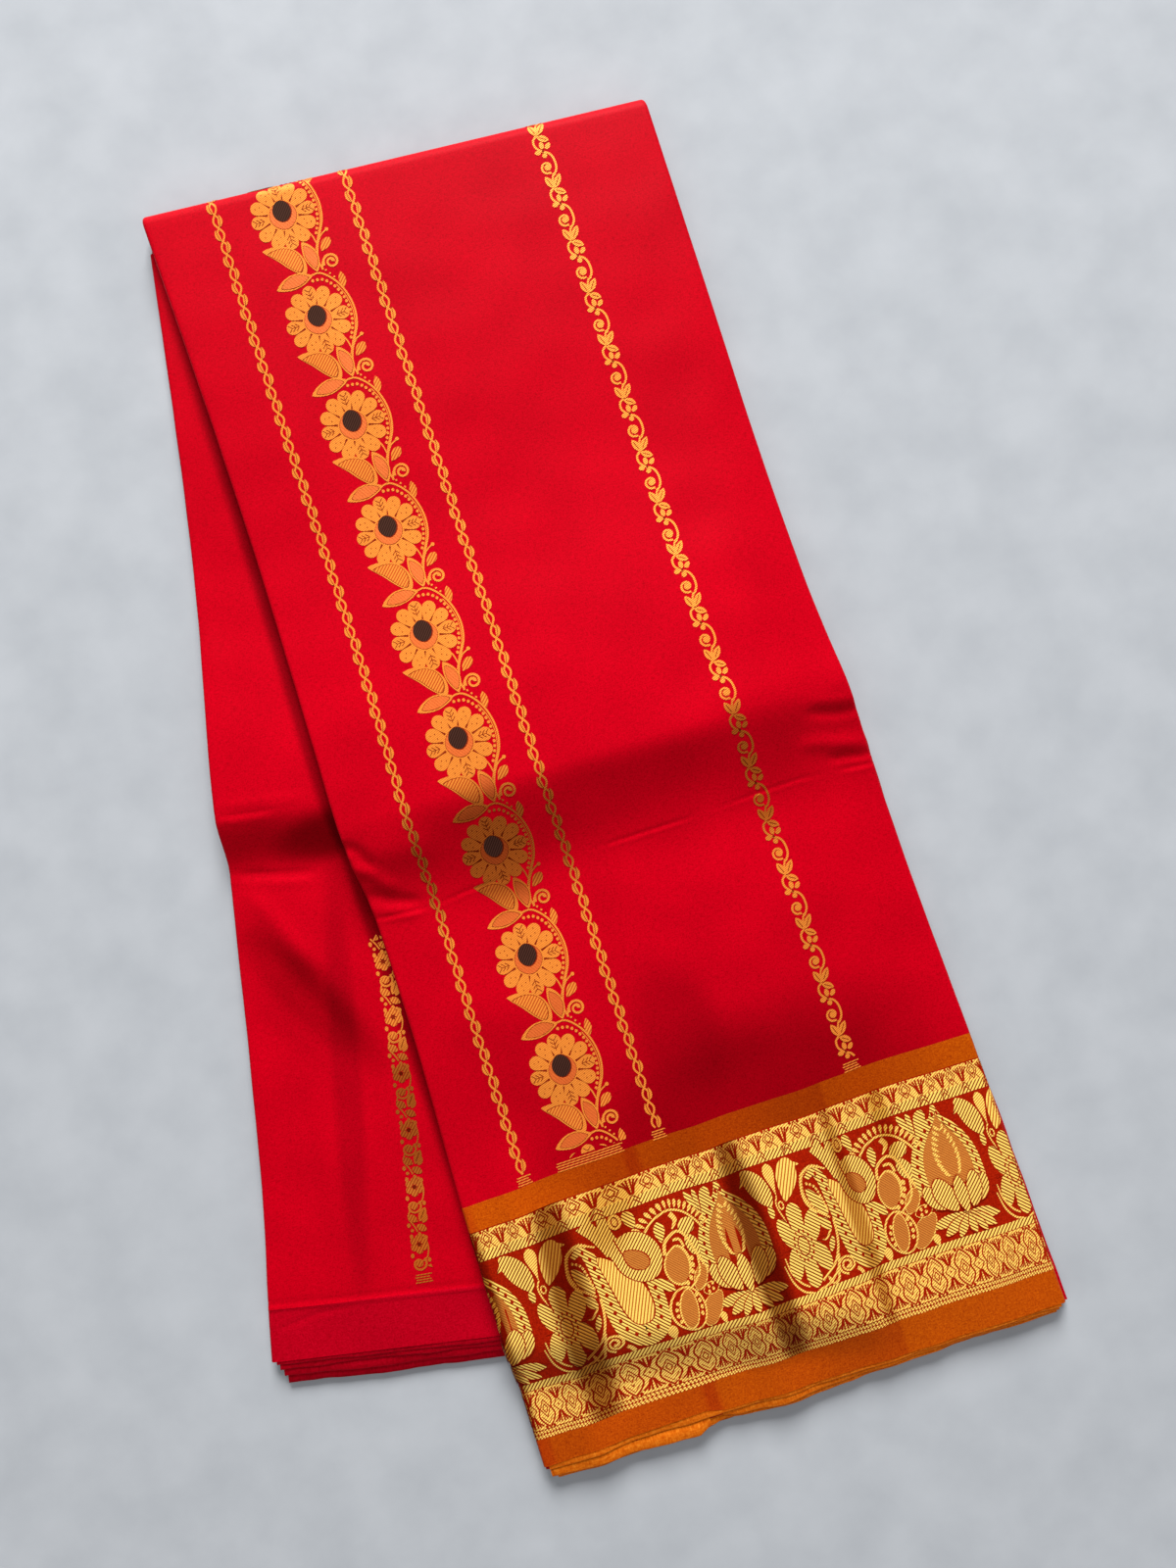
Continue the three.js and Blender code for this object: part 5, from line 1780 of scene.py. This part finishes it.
BACK_START_SHARE = BACK_START / (BACK_LINES["fold"]["left_y"] - BACK_LINES["upper"]["left_y"])
BACK_SPANS = [
    ("fold", "upper", 34, BACK_START_SHARE),
    ("upper", "crest", 56, 0),
    ("crest", "crease", 34, 0),
    ("crease", "lower", 70, 0),
    ("lower", "waist", 44, 0),
]
back_silk, back_flat = back_cloth("back_silk", BACK_SPANS, back_red)
waist_band, waist_flat = back_cloth("waist_silk", [("waist", "hem", 24, 0)], waist_red)

zari_motifs = border_band()
flowers = woven_stripe("flower_stripe", FLOWER_MIDDLE, 16.0, draw_flowers)
rope_left = woven_stripe("rope_stripe_left", ROPE_LEFT_MIDDLE, 3.4, draw_rope(0.0))
rope_right = woven_stripe("rope_stripe_right", ROPE_RIGHT_MIDDLE, 3.4, draw_rope(1.9))
chain = woven_stripe("chain_stripe", CHAIN_MIDDLE, 4.2, draw_chain)
back_chain = back_stripe()

front_plies = front_stack()
back_plies = back_stack()
fold_plies = nose_plies()
# The front hem's plies wear the lighter orange, painted light.
front_hem = hem_mesh(
    "front_hem_plies",
    (float(front_left(-295)), FRONT_LINES["hem"][0]),
    (float(front_right(-295)), FRONT_LINES["hem"][1]),
    front_face, FRONT_HEM, 300, lit_ply_orange,
)
HEM_ROW = BACK_LINES["hem"]
back_hem = hem_mesh(
    "back_hem_plies",
    (HEM_ROW["left_x"], HEM_ROW["left_y"]),
    (HEM_ROW["right_x"], HEM_ROW["right_y"]),
    back_face, BACK_HEM, 400, ply_red,
)

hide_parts("front_panel")
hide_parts("border_upper_strip")
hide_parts("border_zari_band")
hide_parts("border_lower_strip")
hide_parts("back_panel")
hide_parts("waist_band")
for ply in (front_plies, back_plies, fold_plies, front_hem, back_hem):
    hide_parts("inner_layers")

# Floor, light and camera.
CAMERA_HEIGHT = 557.0
CAMERA_TILT = math.radians(2.0)
CAMERA_ROLL = math.radians(18.6)
FOCAL_SHARE = 1202 / 1600
SENSOR = 36.0
image_right = np.array([math.cos(CAMERA_ROLL), -math.sin(CAMERA_ROLL), 0])
image_up = np.array([math.sin(CAMERA_ROLL), math.cos(CAMERA_ROLL), 0])


def set_pose(item, place, ahead):
    """Puts an object at a plan place, facing ahead, with the photo's right to its right."""
    ahead = np.asarray(ahead, float)
    ahead = ahead / np.linalg.norm(ahead)
    right = image_right - ahead * np.dot(image_right, ahead)
    right = right / np.linalg.norm(right)
    up = np.cross(right, ahead)
    where = placed(place)
    rows = [[right[r], up[r], -ahead[r], where[r]] for r in range(3)] + [[0, 0, 0, 1]]
    item.matrix_world = Matrix(rows)


camera_data = bpy.data.cameras.new("camera")
camera_data.sensor_fit = "VERTICAL"
camera_data.sensor_height = SENSOR
camera_data.lens = SENSOR * FOCAL_SHARE
camera = bpy.data.objects.new("camera", camera_data)
bpy.context.scene.collection.objects.link(camera)
camera_place = -image_up * CAMERA_HEIGHT * math.tan(CAMERA_TILT) + np.array([0, 0, CAMERA_HEIGHT])
set_pose(camera, camera_place, -camera_place)
bpy.context.scene.camera = camera

LAMPS = table(
    "name up right height size power",
    ("key", 3300, -250, 2000, 1750, 328),
    ("top", -200, -100, 1400, 1500, 7.0),
    ("fill", -900, 500, 1100, 1200, 1.8),
)
for lamp in LAMPS:
    data = bpy.data.lights.new(lamp["name"], "AREA")
    data.shape = "SQUARE"
    data.size = lamp["size"] * MM
    data.energy = lamp["power"]
    item = bpy.data.objects.new(lamp["name"], data)
    bpy.context.scene.collection.objects.link(item)
    place = image_up * lamp["up"] + image_right * lamp["right"] + np.array([0, 0, lamp["height"]])
    set_pose(item, place, -place)

FLOOR_REACH = 3000
FLOOR_DROP = 0.05
FLOOR_DARK = (0.33, 0.345, 0.365)
FLOOR_LIGHT = (0.375, 0.39, 0.41)
floor_shade = Shade("floor", Roughness=0.9, Specular_IOR_Level=0.2)
floor_tone = floor_shade.ramp(floor_shade.noise(30, 30, 4), [(0.3, FLOOR_DARK), (0.7, FLOOR_LIGHT)])
floor_corners = [(x * FLOOR_REACH, y * FLOOR_REACH) for x, y in ((-1, -1), (1, -1), (1, 1), (-1, 1))]
floor = new_object(
    "floor",
    [(x, y, -FLOOR_DROP) for x, y in floor_corners],
    [(0, 1, 2, 3)],
    floor_corners,
    [floor_shade.finish(floor_tone)],
    body=None,
)

SKY_TINT = (0.9, 0.93, 1.0, 1)
SKY_STRENGTH = 0.18
world = bpy.data.worlds.new("studio")
world.use_nodes = True
world.node_tree.nodes["Background"].inputs["Color"].default_value = SKY_TINT
world.node_tree.nodes["Background"].inputs["Strength"].default_value = SKY_STRENGTH
bpy.context.scene.world = world
bpy.context.scene.view_settings.view_transform = "Standard"
